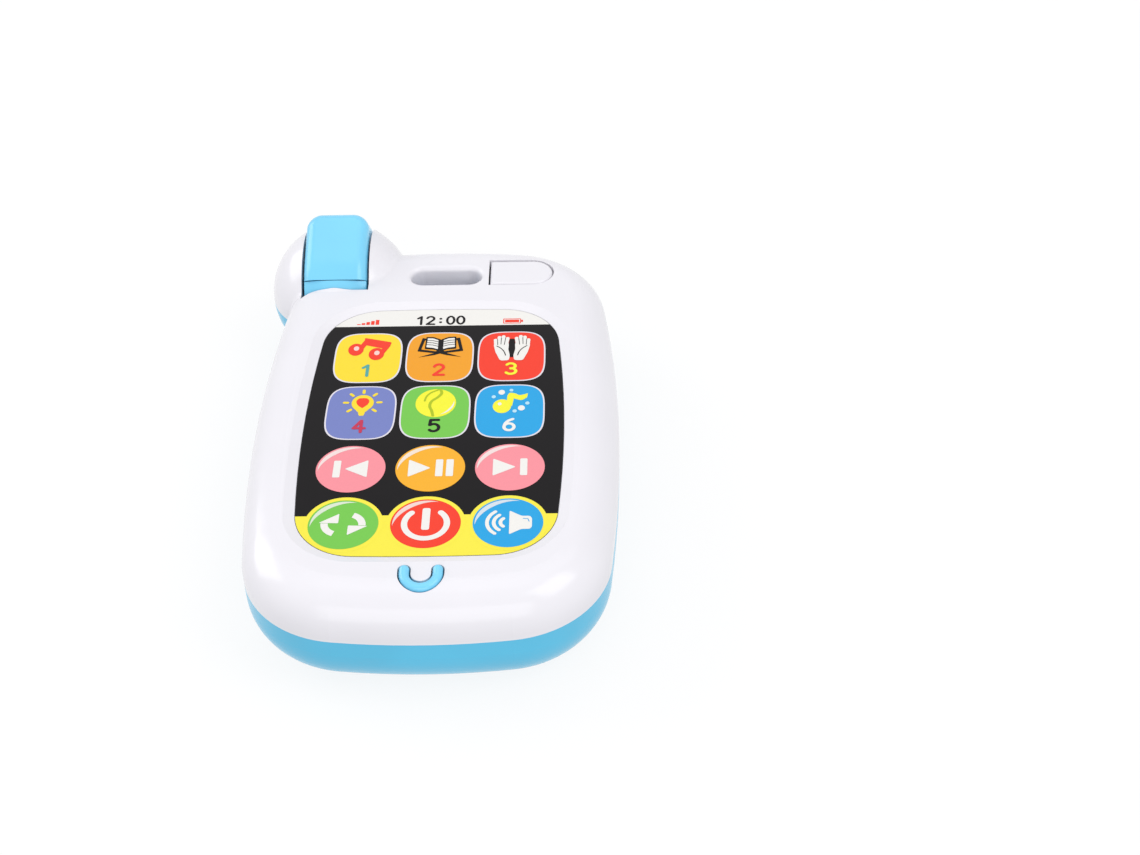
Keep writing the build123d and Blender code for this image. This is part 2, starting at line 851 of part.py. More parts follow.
with BuildPart() as projector_button:
    with BuildSketch(Plane.XY.offset(pill_depth)):
        add(pill_outline())
    extrude(amount=wall + button_side_gap)
    fillet(projector_button.faces().sort_by(Axis.Z)[-1].edges(), pill_edge)
    with BuildSketch(Plane.XY.offset(pill_depth)):
        add(pill_outline(button_flange))
    extrude(amount=-button_flange_thickness)
    with BuildSketch(Plane.XY.offset(pill_depth - button_flange_thickness)):
        with Locations((pill_centre, pill_y)):
            Circle(post_diameter / 2)
    extrude(amount=post_bottom - pill_depth + button_flange_thickness)
save(projector_button, "projector_button")


def switch_dome(x, y):
    """Rubber dome on the board under a button."""
    with BuildPart() as dome:
        with BuildSketch(Plane.XY.offset(board_top)):
            with Locations((x, y)):
                RectangleRounded(switch_size, switch_size, switch_corner)
        extrude(amount=switch_height / 3)
        with BuildSketch(Plane.XY.offset(board_top + switch_height / 3)):
            with Locations((x, y)):
                Circle(switch_size / 2 - switch_skirt)
        with BuildSketch(Plane.XY.offset(board_top + switch_height)):
            with Locations((x, y)):
                Circle(post_diameter / 2 - switch_tip)
        loft()
    return dome


save(switch_dome(0, smile_y - smile_radius), "smile_switch")
save(switch_dome(pill_centre, pill_y), "projector_switch")

# ---------------------------------------------------------------- batteries
for number, y in enumerate(cell_places, start=1):
    side = 1 if number % 2 else -1
    with BuildPart() as cell:
        with Locations(Plane(origin=(side * cell_centre_x, y, cell_height), z_dir=(side, 0, 0))):
            Cylinder(cell_diameter / 2, cell_length - nub_length)
            with Locations((0, 0, cell_length / 2)):
                Cylinder(nub_diameter / 2, nub_length)
        fillet(cell.edges().filter_by(GeomType.CIRCLE).filter_by(lambda e: e.radius > nub_diameter), cell_round)
    save(cell, f"battery_cell_{number}")


def coil_spring(foot, side):
    """Coil that stands on its plate and presses on the flat end of a cell."""
    with BuildPart() as coil:
        with BuildLine():
            turns = Helix(spring_pitch, spring_length, spring_radius, center=foot, direction=(side, 0, 0))
        with BuildSketch(Plane(origin=turns @ 0, z_dir=turns % 0)):
            Circle(spring_wire / 2)
        sweep(is_frenet=True)
    return coil.part


with BuildPart() as battery_springs:
    # the springs with their plates
    for number, y in enumerate(cell_places, start=1):
        side = 1 if number % 2 else -1
        plate_x = -side * (box_length / 2 - contact_thickness)
        with BuildSketch(Plane(origin=(plate_x, y, cell_height), z_dir=(-side, 0, 0))):
            Rectangle(contact_width, contact_width)
        extrude(amount=contact_thickness)
        add(coil_spring((plate_x, y, cell_height), side))
save(battery_springs, "battery_springs")

with BuildPart() as battery_plates:
    # flat plates that meet the caps of the cells
    for number, y in enumerate(cell_places, start=1):
        side = 1 if number % 2 else -1
        cap_x = side * (cell_centre_x + cell_length / 2 + nub_length / 2)
        with BuildSketch(Plane(origin=(cap_x + side * contact_gap, y, cell_height), z_dir=(side, 0, 0))):
            Rectangle(contact_width, contact_width)
        extrude(amount=contact_thickness)
save(battery_plates, "battery_plates")

with BuildPart() as battery_door:
    with BuildSketch():
        add(door_outline())
    extrude(amount=door_thickness)
    with BuildSketch(Plane.XY.offset(door_thickness)):
        with Locations((0, door_screw_y)):
            Circle(door_lug - door_gap)
            Circle(screw_diameter / 2 + screw_fit, mode=Mode.SUBTRACT)
    extrude(amount=door_lug_height)
    with BuildSketch():
        with Locations((0, door_screw_y)):
            Circle(screw_head_diameter / 2 + door_head_gap)
    extrude(amount=screw_head_height, mode=Mode.SUBTRACT)
    # shallow thumb grooves
    with BuildSketch():
        with GridLocations(0, groove_pitch, 1, groove_count):
            with Locations((0, battery_y + groove_offset)):
                SlotOverall(groove_length, groove_width)
    extrude(amount=groove_depth, mode=Mode.SUBTRACT)
save(battery_door, "battery_door")


# ---------------------------------------------------------------- screws
def screws(places, head_seat, tip):
    """Round-headed screws along Z, their heads below head_seat."""
    with BuildPart() as group:
        with BuildSketch(Plane.XY.offset(head_seat)):
            with Locations(*places):
                Circle(screw_diameter / 2)
        extrude(amount=tip - head_seat)
        with BuildSketch(Plane.XY.offset(head_seat)):
            with Locations(*places):
                Circle(screw_head_diameter / 2)
        extrude(amount=-screw_head_height)
        rims = group.edges().filter_by(GeomType.CIRCLE).group_by(Axis.Z)[0]
        fillet(rims, screw_head_height / 3)
    return group


housing_screw_tip = parting_height + screw_grip - screw_tip_gap
save(screws(housing_screw_places, screw_head_seat, housing_screw_tip), "housing_screws")
save(screws(board_screw_places, board_bottom, board_bottom + board_screw_length), "board_screws")

with BuildPart() as battery_door_screw:
    with BuildSketch():
        with Locations((0, door_screw_y)):
            Circle(screw_head_diameter / 2)
    extrude(amount=screw_head_height)
    with BuildSketch(Plane.XY.offset(screw_head_height)):
        with Locations((0, door_screw_y)):
            Circle(screw_diameter / 2)
    extrude(amount=door_screw_grip)
save(battery_door_screw, "battery_door_screw")

# ---------------------------------------------------------------- speaker
with BuildPart() as speaker_gasket:
    with BuildSketch(Plane.XY.offset(wall)):
        with Locations((0, speaker_y)):
            Circle(speaker_diameter / 2)
            Circle(speaker_diameter / 2 - speaker_rim, mode=Mode.SUBTRACT)
    extrude(amount=gasket_thickness)
save(speaker_gasket, "speaker_gasket")

with BuildPart() as speaker_frame:
    with BuildSketch(Plane((0, speaker_y, speaker_seat), x_dir=(1, 0, 0), z_dir=(0, -1, 0))):
        with BuildLine():
            Polyline(
                (speaker_diameter / 2 - speaker_rim, 0),
                (speaker_diameter / 2, 0),
                (speaker_diameter / 2, speaker_flange_thickness),
                (speaker_basket_diameter / 2, speaker_basket_height),
                (magnet_diameter / 2 - magnet_seat, speaker_basket_height),
                (magnet_diameter / 2 - magnet_seat, speaker_basket_height - speaker_sheet),
                (speaker_basket_diameter / 2 - speaker_sheet, speaker_basket_height - speaker_sheet),
                (speaker_diameter / 2 - speaker_rim, speaker_flange_thickness - speaker_flange_step),
                close=True,
            )
        make_face()
    revolve(axis=Axis((0, speaker_y, 0), (0, 0, 1)))
save(speaker_frame, "speaker_frame")

cone_radius = speaker_diameter / 2 - speaker_rim - cone_gap
with BuildPart() as speaker_cone:
    with BuildSketch(Plane((0, speaker_y, speaker_seat), x_dir=(1, 0, 0), z_dir=(0, -1, 0))):
        with BuildLine():
            Polyline(
                (0, cap_height),
                (cap_radius, cap_edge_height),
                (cone_radius, cone_gap),
                (cone_radius, cone_thickness),
                (cap_radius, cap_edge_height + cone_thickness),
                (0, cap_height + cone_thickness),
                close=True,
            )
        make_face()
    revolve(axis=Axis((0, speaker_y, 0), (0, 0, 1)))
save(speaker_cone, "speaker_cone")

with BuildPart() as speaker_magnet:
    with BuildSketch(Plane.XY.offset(speaker_seat + speaker_basket_height)):
        with Locations((0, speaker_y)):
            Circle(magnet_diameter / 2)
    extrude(amount=magnet_height)
    fillet(speaker_magnet.edges().group_by(Axis.Z)[-1], magnet_round)
save(speaker_magnet, "speaker_magnet")


# ---------------------------------------------------------------- projector head
def head_profile(inset):
    """Side view of the head: a disc cut flat behind and slimmer below, running out into the nozzle."""
    big = head_radius - inset
    small = floor_radius - inset
    flat = back_flat - inset
    brow = nozzle_brow - inset
    chin = nozzle_chin - inset
    front = nozzle_reach if inset == 0 else nozzle_reach - nozzle_face
    touch = math.atan2(brow, front) + math.acos(big / math.hypot(front, brow))
    with BuildSketch() as profile:
        with BuildLine():
            top = Line((front, brow), (big * math.cos(touch), big * math.sin(touch)))
            crown = RadiusArc(top @ 1, (-flat, math.sqrt(big**2 - flat**2)), -big)
            drop = Line(crown @ 1, (-flat, math.sqrt(small**2 - flat**2)))
            belly = ThreePointArc(drop @ 1, (0, -small), (math.sqrt(small**2 - chin**2), -chin))
            under = Line(belly @ 1, (front, -chin))
            Line(under @ 1, top @ 0)
        make_face()
    return profile.sketch


def ball_behind(radius):
    """All the room ahead of the head's seam, and a ball behind it."""
    with BuildPart() as form:
        with Locations(ear_centre):
            Sphere(radius)
        with BuildSketch(nozzle_plane):
            Rectangle(4 * radius, 4 * radius)
        extrude(amount=2 * radius)
    return form.part


def head_form(inset):
    """The head as one solid, moved in by inset: its side view crossed with its top view.

    Outside, the nozzle's corners and the rims of crown, nozzle and chin are rounded, no
    more than the short flats below the nozzle and behind the crown let them.
    """
    half = head_width / 2 - inset
    front = nozzle_reach if inset == 0 else nozzle_reach - nozzle_face
    belly_end = math.sqrt(floor_radius**2 - nozzle_chin**2)
    under_flat = nozzle_reach - belly_end
    back_drop = math.sqrt(head_radius**2 - back_flat**2) - math.sqrt(floor_radius**2 - back_flat**2)
    with BuildPart() as form:
        with BuildSketch(head_plane):
            add(head_profile(inset))
        extrude(amount=half, both=True)
        with BuildSketch(plan_plane) as plan:
            with Locations((front - head_radius, 0)):
                Rectangle(2 * head_radius, 2 * half)
            if inset == 0:
                fillet(plan.vertices().group_by(Axis.X)[-1], min(nozzle_corner, 2 * under_flat / 3))
        extrude(amount=2 * head_radius, both=True, mode=Mode.INTERSECT)
        if inset == 0:
            rims = []
            for edge in form.edges():
                place = plan_plane.to_local_coords(edge.center())
                on_side = abs(place.Y) > half / 2 or place.X > front - hair
                on_crown = place.Z > 0.8 * nozzle_brow
                on_chin = place.Z < hair - nozzle_chin and place.X > belly_end
                if on_side and (on_crown or on_chin):
                    rims.append(edge)
            fillet(rims, min(nozzle_round, under_flat / 2, back_drop / 2))
        add(ball_behind(head_radius - inset), mode=Mode.INTERSECT)
    return form.part


with BuildPart() as head_whole:
    add(head_form(0))
    add(head_form(head_wall), mode=Mode.SUBTRACT)
    with BuildSketch(nozzle_plane):
        Circle(mouth_diameter / 2)
    extrude(amount=2 * nozzle_reach, mode=Mode.SUBTRACT)
    with BuildSketch(axle_plane):
        Circle(trunnion_diameter / 2)
    extrude(amount=head_width, both=True, mode=Mode.SUBTRACT)

with BuildPart() as head_front:
    add(head_whole.part)
    split(bisect_by=nozzle_plane.offset(seam_gap / 2), keep=Keep.TOP)
save(head_front, "head_front")

with BuildPart() as head_back:
    add(head_whole.part)
    split(bisect_by=nozzle_plane.offset(-seam_gap / 2), keep=Keep.BOTTOM)
save(head_back, "head_back")

for name, side in (("trunnion_left", -1), ("trunnion_right", 1)):
    outward = Plane(origin=ear_centre, z_dir=(side, 0, 0))
    with BuildPart() as trunnion:
        with BuildSketch(outward.offset(trunnion_inner - trunnion_flange)):
            Circle(trunnion_diameter / 2 + trunnion_flange_rim)
        extrude(amount=trunnion_flange)
        with BuildSketch(outward.offset(trunnion_inner)):
            Circle(trunnion_diameter / 2)
        extrude(amount=trunnion_outer - trunnion_inner)
        with BuildSketch(outward):
            Circle(trunnion_bore / 2)
        extrude(amount=trunnion_outer, mode=Mode.SUBTRACT)
    save(trunnion, name)

# optics, from the nozzle's face inwards
with BuildPart() as lens:
    # a flat disc with a crown that fills the mouth
    with BuildSketch(nozzle_plane.offset(lens_seat)):
        Circle(lens_diameter / 2)
    extrude(amount=-lens_edge)
    crown_radius = ((mouth_diameter / 2) ** 2 + lens_crown**2) / (2 * lens_crown)
    crown_edge = mouth_diameter / 2 - lens_fit
    with BuildSketch(head_plane):
        with BuildLine():
            axis_line = Line((lens_seat - lens_edge / 2, 0), (lens_seat + lens_crown - lens_fit, 0))
            crown = RadiusArc(axis_line @ 1, (lens_seat - lens_fit, crown_edge), crown_radius)
            Polyline(crown @ 1, (lens_seat - lens_edge / 2, crown_edge), axis_line @ 0)
        make_face()
    revolve(axis=Axis(ear_centre, nozzle_plane.z_dir))
save(lens, "lens")

with BuildPart() as lens_barrel:
    with BuildSketch(nozzle_plane.offset(lens_seat - lens_edge)):
        Circle(barrel_diameter / 2)
        Circle(mouth_diameter / 2, mode=Mode.SUBTRACT)
    extrude(amount=-barrel_length)
save(lens_barrel, "lens_barrel")

with BuildPart() as film_slide:
    with BuildSketch(nozzle_plane.offset(lens_seat - lens_edge - barrel_length)):
        Circle(barrel_diameter / 2)
    extrude(amount=-film_thickness)
save(film_slide, "film_slide")

with BuildPart() as led_reflector:
    # cup behind the film, open towards it
    front = nozzle_plane.offset(reflector_front)
    with BuildSketch(front):
        Circle(barrel_diameter / 2)
    with BuildSketch(front.offset(-reflector_depth)):
        Circle(led_diameter / 2 + reflector_foot)
    loft()
    with BuildSketch(front):
        Circle(barrel_diameter / 2 - reflector_wall)
    with BuildSketch(front.offset(-reflector_depth)):
        Circle(led_diameter / 2 + led_fit)
    loft(mode=Mode.SUBTRACT)
save(led_reflector, "led_reflector")

with BuildPart() as led:
    # five-millimetre lamp with a round tip, its foot in the reflector's throat
    with BuildSketch(nozzle_plane.offset(reflector_front - reflector_depth)):
        Circle(led_diameter / 2)
    extrude(amount=led_height)
    tip = led.faces().sort_by(lambda face: nozzle_plane.to_local_coords(face.center()).Z)[-1]
    fillet(tip.edges(), led_round)
save(led, "led")
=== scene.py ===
import math

import bmesh
import bpy
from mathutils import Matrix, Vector
from mathutils.geometry import tessellate_polygon


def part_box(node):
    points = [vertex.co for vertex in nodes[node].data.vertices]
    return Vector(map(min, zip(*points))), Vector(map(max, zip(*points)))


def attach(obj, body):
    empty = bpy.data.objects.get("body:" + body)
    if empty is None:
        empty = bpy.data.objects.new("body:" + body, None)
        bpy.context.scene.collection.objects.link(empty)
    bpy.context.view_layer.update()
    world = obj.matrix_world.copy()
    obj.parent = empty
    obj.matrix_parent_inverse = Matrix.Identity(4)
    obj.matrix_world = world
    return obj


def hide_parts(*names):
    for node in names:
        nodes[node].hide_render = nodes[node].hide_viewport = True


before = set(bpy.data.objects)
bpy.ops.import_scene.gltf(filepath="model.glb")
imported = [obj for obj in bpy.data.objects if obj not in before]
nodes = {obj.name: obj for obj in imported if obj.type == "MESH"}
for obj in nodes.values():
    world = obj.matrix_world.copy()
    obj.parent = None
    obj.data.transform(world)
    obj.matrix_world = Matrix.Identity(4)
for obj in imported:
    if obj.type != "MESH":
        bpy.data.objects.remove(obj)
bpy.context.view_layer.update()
scene = bpy.context.scene


# ---------------------------------------------------------------- circuit board
# The fibreglass board that carries the key contacts, green solder mask over copper tracks.
# It is cut from a sheet and screwed to four posts under the face.
MM = 0.001


def new_material(name):
    """An empty node material: the material, its node tree and its shader."""
    material = bpy.data.materials.new(name)
    material.use_nodes = True
    tree = material.node_tree
    return material, tree, tree.nodes["Principled BSDF"]


def noise(tree, size, detail=2.0, roughness=0.5):
    """Noise in the object's own space, its features about size millimetres across."""
    place = tree.nodes.new("ShaderNodeTexCoord")
    pattern = tree.nodes.new("ShaderNodeTexNoise")
    pattern.inputs["Scale"].default_value = 1 / (size * MM)
    pattern.inputs["Detail"].default_value = detail
    pattern.inputs["Roughness"].default_value = roughness
    tree.links.new(place.outputs["Object"], pattern.inputs["Vector"])
    return pattern.outputs["Fac"]


def spread(tree, value, low, high, start=0.3, end=0.7):
    """Map a pattern's middle values to the range from low to high."""
    ranged = tree.nodes.new("ShaderNodeMapRange")
    ranged.inputs["From Min"].default_value = start
    ranged.inputs["From Max"].default_value = end
    ranged.inputs["To Min"].default_value = low
    ranged.inputs["To Max"].default_value = high
    tree.links.new(value, ranged.inputs["Value"])
    return ranged.outputs["Result"]


def tinted(tree, shader, pattern, first, second):
    """Colour the surface between first and second by a pattern."""
    mix = tree.nodes.new("ShaderNodeMix")
    mix.data_type = "RGBA"
    tree.links.new(pattern, mix.inputs["Factor"])
    mix.inputs["A"].default_value = (*first, 1)
    mix.inputs["B"].default_value = (*second, 1)
    tree.links.new(mix.outputs["Result"], shader.inputs["Base Color"])


def polished(tree, shader, pattern, low, high):
    """Roughness of the surface between low and high by a pattern."""
    tree.links.new(spread(tree, pattern, low, high), shader.inputs["Roughness"])


def bumped(tree, shader, height, depth, strength=0.5):
    """Press a height pattern, depth millimetres deep, into the surface."""
    bump = tree.nodes.new("ShaderNodeBump")
    bump.inputs["Strength"].default_value = strength
    bump.inputs["Distance"].default_value = depth * MM
    tree.links.new(height, bump.inputs["Height"])
    tree.links.new(bump.outputs["Normal"], shader.inputs["Normal"])


def shade(colour, factor):
    """The same colour, lighter or darker."""
    return tuple(min(1.0, c * factor) for c in colour)


def finish(material, *pieces):
    """Give CAD nodes one material."""
    for piece in pieces:
        mesh = nodes[piece].data
        mesh.materials.clear()
        mesh.materials.append(material)


def solder_mask():
    """Green lacquer with the weave of the laminate showing through."""
    material, tree, shader = new_material("solder_mask")
    cells = tree.nodes.new("ShaderNodeTexBrick")
    place = tree.nodes.new("ShaderNodeTexCoord")
    cells.inputs["Scale"].default_value = 260
    cells.inputs["Mortar Size"].default_value = 0.03
    cells.inputs["Color1"].default_value = (0.02, 0.17, 0.07, 1)
    cells.inputs["Color2"].default_value = (0.015, 0.14, 0.055, 1)
    cells.inputs["Mortar"].default_value = (0.04, 0.26, 0.1, 1)
    tree.links.new(place.outputs["Object"], cells.inputs["Vector"])
    tree.links.new(cells.outputs["Color"], shader.inputs["Base Color"])
    polished(tree, shader, noise(tree, 3), 0.3, 0.42)
    bumped(tree, shader, cells.outputs["Fac"], 0.03)
    return material


finish(solder_mask(), "main_board")


def black_moulding():
    """Matt black resin, as on chips and the lens barrel."""
    material, tree, shader = new_material("black_moulding")
    grain = noise(tree, 0.25, 3)
    tinted(tree, shader, grain, (0.012, 0.012, 0.013), (0.03, 0.03, 0.032))
    polished(tree, shader, grain, 0.42, 0.6)
    bumped(tree, shader, grain, 0.02)
    return material


finish(black_moulding(), "board_chips", "lens_barrel")


# ---------------------------------------------------------------- silicone mat and domes
# One sheet of soft silicone rubber with a dome under every key, laid on the board.
# It is compression moulded, milky and slightly matt.
def silicone():
    """Milky soft rubber."""
    material, tree, shader = new_material("silicone")
    cloud = noise(tree, 4, 3)
    tinted(tree, shader, cloud, (0.62, 0.64, 0.66), (0.72, 0.73, 0.75))
    polished(tree, shader, noise(tree, 0.4), 0.45, 0.6)
    bumped(tree, shader, noise(tree, 0.3), 0.02)
    return material


finish(silicone(), "keypad_mat", "smile_switch", "projector_switch")


# ---------------------------------------------------------------- keys
# Twelve hard plungers under the printed film, moulded in plain natural ABS.
# Each slides in a hole of the front half and rests on its own dome.
def key_plastic():
    """Uncoloured ABS, off-white."""
    material, tree, shader = new_material("key_plastic")
    flow = noise(tree, 6, 2)
    tinted(tree, shader, flow, (0.66, 0.65, 0.61), (0.72, 0.71, 0.67))
    polished(tree, shader, noise(tree, 0.5), 0.35, 0.5)
    bumped(tree, shader, noise(tree, 0.2), 0.01)
    return material


finish(key_plastic(), *[name for name in nodes if name.startswith("key_")])


# ---------------------------------------------------------------- speaker
# A small speaker clamped against the grille: a foam ring, a stamped steel basket,
# a coated paper cone and a magnet in a plated pot.
def foam():
    """Black open-cell foam."""
    material, tree, shader = new_material("foam")
    pores = noise(tree, 0.5, 4)
    tinted(tree, shader, pores, (0.015, 0.015, 0.016), (0.06, 0.06, 0.062))
    polished(tree, shader, pores, 0.8, 0.95)
    bumped(tree, shader, pores, 0.15, 1.0)
    return material


def plated_steel():
    """Rolled steel under a thin bright plating."""
    material, tree, shader = new_material("plated_steel")
    rolled = noise(tree, 0.35, 4)
    tinted(tree, shader, rolled, (0.5, 0.5, 0.51), (0.62, 0.62, 0.63))
    polished(tree, shader, rolled, 0.22, 0.4)
    shader.inputs["Metallic"].default_value = 1.0
    bumped(tree, shader, rolled, 0.01)
    return material


def coated_paper():
    """Dark doped paper with its fibres showing."""
    material, tree, shader = new_material("coated_paper")
    fibres = noise(tree, 0.6, 5, 0.7)
    tinted(tree, shader, fibres, (0.03, 0.03, 0.03), (0.08, 0.078, 0.075))
    polished(tree, shader, fibres, 0.6, 0.8)
    bumped(tree, shader, fibres, 0.06, 0.8)
    return material


steel = plated_steel()
finish(foam(), "speaker_gasket")
finish(steel, "speaker_frame", "speaker_magnet")
finish(coated_paper(), "speaker_cone")


# ---------------------------------------------------------------- batteries
# Three AAA cells side by side, plain shrink-wrapped cans, between coil springs and tabs
# of nickel-plated spring steel.
def cell_jacket():
    """Dark jacket with a copper-coloured band round the positive end."""
    material, tree, shader = new_material("cell_jacket")
    place = tree.nodes.new("ShaderNodeTexCoord")
    axis = tree.nodes.new("ShaderNodeSeparateXYZ")
    tree.links.new(place.outputs["Object"], axis.inputs["Vector"])
    band_start = 12
    band = tree.nodes.new("ShaderNodeMapRange")
    band.inputs["From Min"].default_value = band_start * MM
    band.inputs["From Max"].default_value = (band_start + 0.1) * MM
    tree.links.new(axis.outputs["X"], band.inputs["Value"])
    tinted(tree, shader, band.outputs["Result"], (0.012, 0.013, 0.016), (0.5, 0.2, 0.07))
    polished(tree, shader, noise(tree, 2), 0.2, 0.3)
    shader.inputs["Metallic"].default_value = 0.3
    return material


finish(cell_jacket(), "battery_cell_1", "battery_cell_2", "battery_cell_3")
finish(steel, "battery_springs", "battery_plates")


# ---------------------------------------------------------------- back half
# The blue tray with the ball's lower half, the battery box and the screw posts.
# Glossy ABS moulded in one shot, with a fine orange-peel left by the tool.
def glossy_moulding(name, colour, polish, tint=0.035):
    """Glossy ABS: slight flow shading, a rippled surface and a few soft rub marks."""
    material, tree, shader = new_material(name)
    flow = noise(tree, 22, 2)
    tinted(tree, shader, spread(tree, flow, 0, 1), shade(colour, 1 - tint), shade(colour, 1 + tint))
    polished(tree, shader, noise(tree, 5, 5, 0.7), polish, polish + 0.09)
    bumped(tree, shader, noise(tree, 1.6, 1), 0.012, 0.35)
    return material


blue_abs = glossy_moulding("blue_abs", (0.085, 0.5, 0.75), 0.17)
finish(blue_abs, "back_shell", "battery_door", "trunnion_left", "trunnion_right")


# ---------------------------------------------------------------- front half
# The white face with the ball's upper half and the rim round the film.
# The same ABS in a cool white, closed over the tray's lip and screwed from the back.
white_abs = glossy_moulding("white_abs", (0.78, 0.765, 0.805), 0.15, 0.01)
finish(white_abs, "front_shell", "projector_button")


# ---------------------------------------------------------------- printed film
# A thin film stuck down in the face, black behind and printed in bright flat inks:
# a pale strip at the ear's end, six square signs, six round ones and a yellow foot.
film_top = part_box("screen_overlay")[1][2] / MM
ink_step = 0.02  # one coat of ink
ink_over = 0.003  # every shape of a sign lies this much over the one before
strip_line = 33.6
foot_line = -41.0
square_rows = (20.0, -2.6)
round_rows = (-24.2, -44.0)
square_pitch = 19.0
round_pitch = 19.6


def film_gloss(tree, shader):
    """The film's clear glossy skin, the same over every ink."""
    polished(tree, shader, noise(tree, 4, 4, 0.7), 0.1, 0.2)
    bumped(tree, shader, noise(tree, 9, 1), 0.03, 0.3)
    shader.inputs["Specular IOR Level"].default_value = 0.15


def ink(name, colour):
    """Screen-printed ink under the film, very slightly mottled."""
    material, tree, shader = new_material("ink_" + name)
    mottle = noise(tree, 0.35, 3)
    tinted(tree, shader, mottle, shade(colour, 0.96), shade(colour, 1.04))
    film_gloss(tree, shader)
    return material


ink_colours = {
    "black": (0.005, 0.004, 0.005),
    "white": (0.8, 0.785, 0.75),
    "lilac_white": (0.72, 0.69, 0.75),
    "pale_blue": (0.45, 0.7, 0.82),
    "yellow": (0.866, 0.661, 0.038),
    "foot_yellow": (0.858, 0.76, 0.067),
    "lime": (0.84, 0.82, 0.045),
    "orange": (0.812, 0.334, 0.024),
    "sun": (0.85, 0.41, 0.03),
    "red": (0.835, 0.052, 0.028),
    "rose": (0.85, 0.277, 0.32),
    "blush": (0.85, 0.6, 0.55),
    "violet": (0.178, 0.215, 0.5),
    "green": (0.175, 0.535, 0.08),
    "leaf": (0.4, 0.5, 0.02),
    "sky": (0.024, 0.347, 0.7),
    "teal": (0.09, 0.36, 0.34),
    "crimson": (0.52, 0.04, 0.09),
}
inks = {name: ink(name, colour) for name, colour in ink_colours.items()}
glint_cover = 0.75  # how much of the ink below the white of a glint hides
for name in ("rose", "sun", "green", "red", "sky"):
    under = Vector(ink_colours[name])
    glint = under.lerp(Vector(ink_colours["white"]), glint_cover)
    inks[name + "_glint"] = ink(name + "_glint", glint)
finish(inks["black"], "screen_overlay")


def arc(centre, radius, start, end, steps=24):
    """Points along an arc, from start to end degrees; radius may be (across, along)."""
    across, along = radius if isinstance(radius, tuple) else (radius, radius)
    points = []
    for step in range(steps + 1):
        angle = math.radians(start + (end - start) * step / steps)
        points.append((centre[0] + across * math.cos(angle), centre[1] + along * math.sin(angle)))
    return points


def disc(centre, radius, steps=48):
    """Points round a circle or an oval."""
    return arc(centre, radius, 0, 360 * (steps - 1) / steps, steps - 1)


def cushion(half_width, half_length, power=3.6, steps=72):
    """A square with bulging sides and very round corners."""
    points = []
    for step in range(steps):
        angle = 2 * math.pi * step / steps
        c, s = math.cos(angle), math.sin(angle)
        across = half_width * math.copysign(abs(c) ** (2 / power), c)
        along = half_length * math.copysign(abs(s) ** (2 / power), s)
        points.append((across, along))
    return points


def rounded(corners, radius, steps=5):
    """A polygon with its corners rounded off by radius along each side."""
    points = []
    for index, corner in enumerate(corners):
        here = Vector(corner)
        before = Vector(corners[index - 1])
        after = Vector(corners[(index + 1) % len(corners)])
        start = here + (before - here).normalized() * min(radius, (before - here).length / 2)
        end = here + (after - here).normalized() * min(radius, (after - here).length / 2)
        for step in range(steps + 1):
            t = step / steps
            points.append(tuple(start * (1 - t) ** 2 + here * (2 * t * (1 - t)) + end * t**2))
    return points


def stroke(path, width, steps=6):
    """A line of even width along a path, with round ends."""
    points = [Vector(p) for p in path]
    sides = []
    for index, point in enumerate(points):
        back = points[max(index - 1, 0)]
        ahead = points[min(index + 1, len(points) - 1)]
        along = (ahead - back).normalized()
        sides.append(Vector((-along.y, along.x)) * width / 2)
    left = [p + s for p, s in zip(points, sides)]
    right = [p - s for p, s in zip(points, sides)]
    cap_start = []
    cap_end = []
    for step in range(1, steps):
        turn = math.pi * step / steps
        cap_start.append(points[0] - rotated(sides[0], -turn))
        cap_end.append(points[-1] + rotated(sides[-1], -turn))
    return [tuple(p) for p in left + cap_end + right[::-1] + cap_start]


def crescent(centre, radius, start, end, thickness, steps=28):
    """A sliver inside an arc, thickest in its middle and pointed at both ends."""
    outer = arc(centre, radius, start, end, steps)
    inner = []
    for step in range(1, steps):
        angle = math.radians(start + (end - start) * step / steps)
        reach = radius - thickness * math.sin(math.pi * step / steps)
        inner.append((centre[0] + reach * math.cos(angle), centre[1] + reach * math.sin(angle)))
    return outer + inner[::-1]


def rotated(vector, angle):
    """A vector turned by an angle in radians."""
    c, s = math.cos(angle), math.sin(angle)
    return Vector((vector.x * c - vector.y * s, vector.x * s + vector.y * c))


def mirrored(outline):
    """An outline flipped left to right."""
    return [(-x, y) for x, y in outline]


def turned_half(outline):
    """An outline given half a turn."""
    return [(-x, -y) for x, y in outline]


def smooth(points, steps=6):
    """A smooth line through points."""
    knots = [Vector(p) for p in (points[0], *points, points[-1])]
    line = []
    for before, start, end, after in zip(knots, knots[1:], knots[2:], knots[3:]):
        slope = end - before
        bend = before * 2 - start * 5 + end * 4 - after
        twist = start * 3 - before - end * 3 + after
        for step in range(steps):
            t = step / steps
            line.append((start * 2 + slope * t + bend * t**2 + twist * t**3) / 2)
    return line + [knots[-1]]


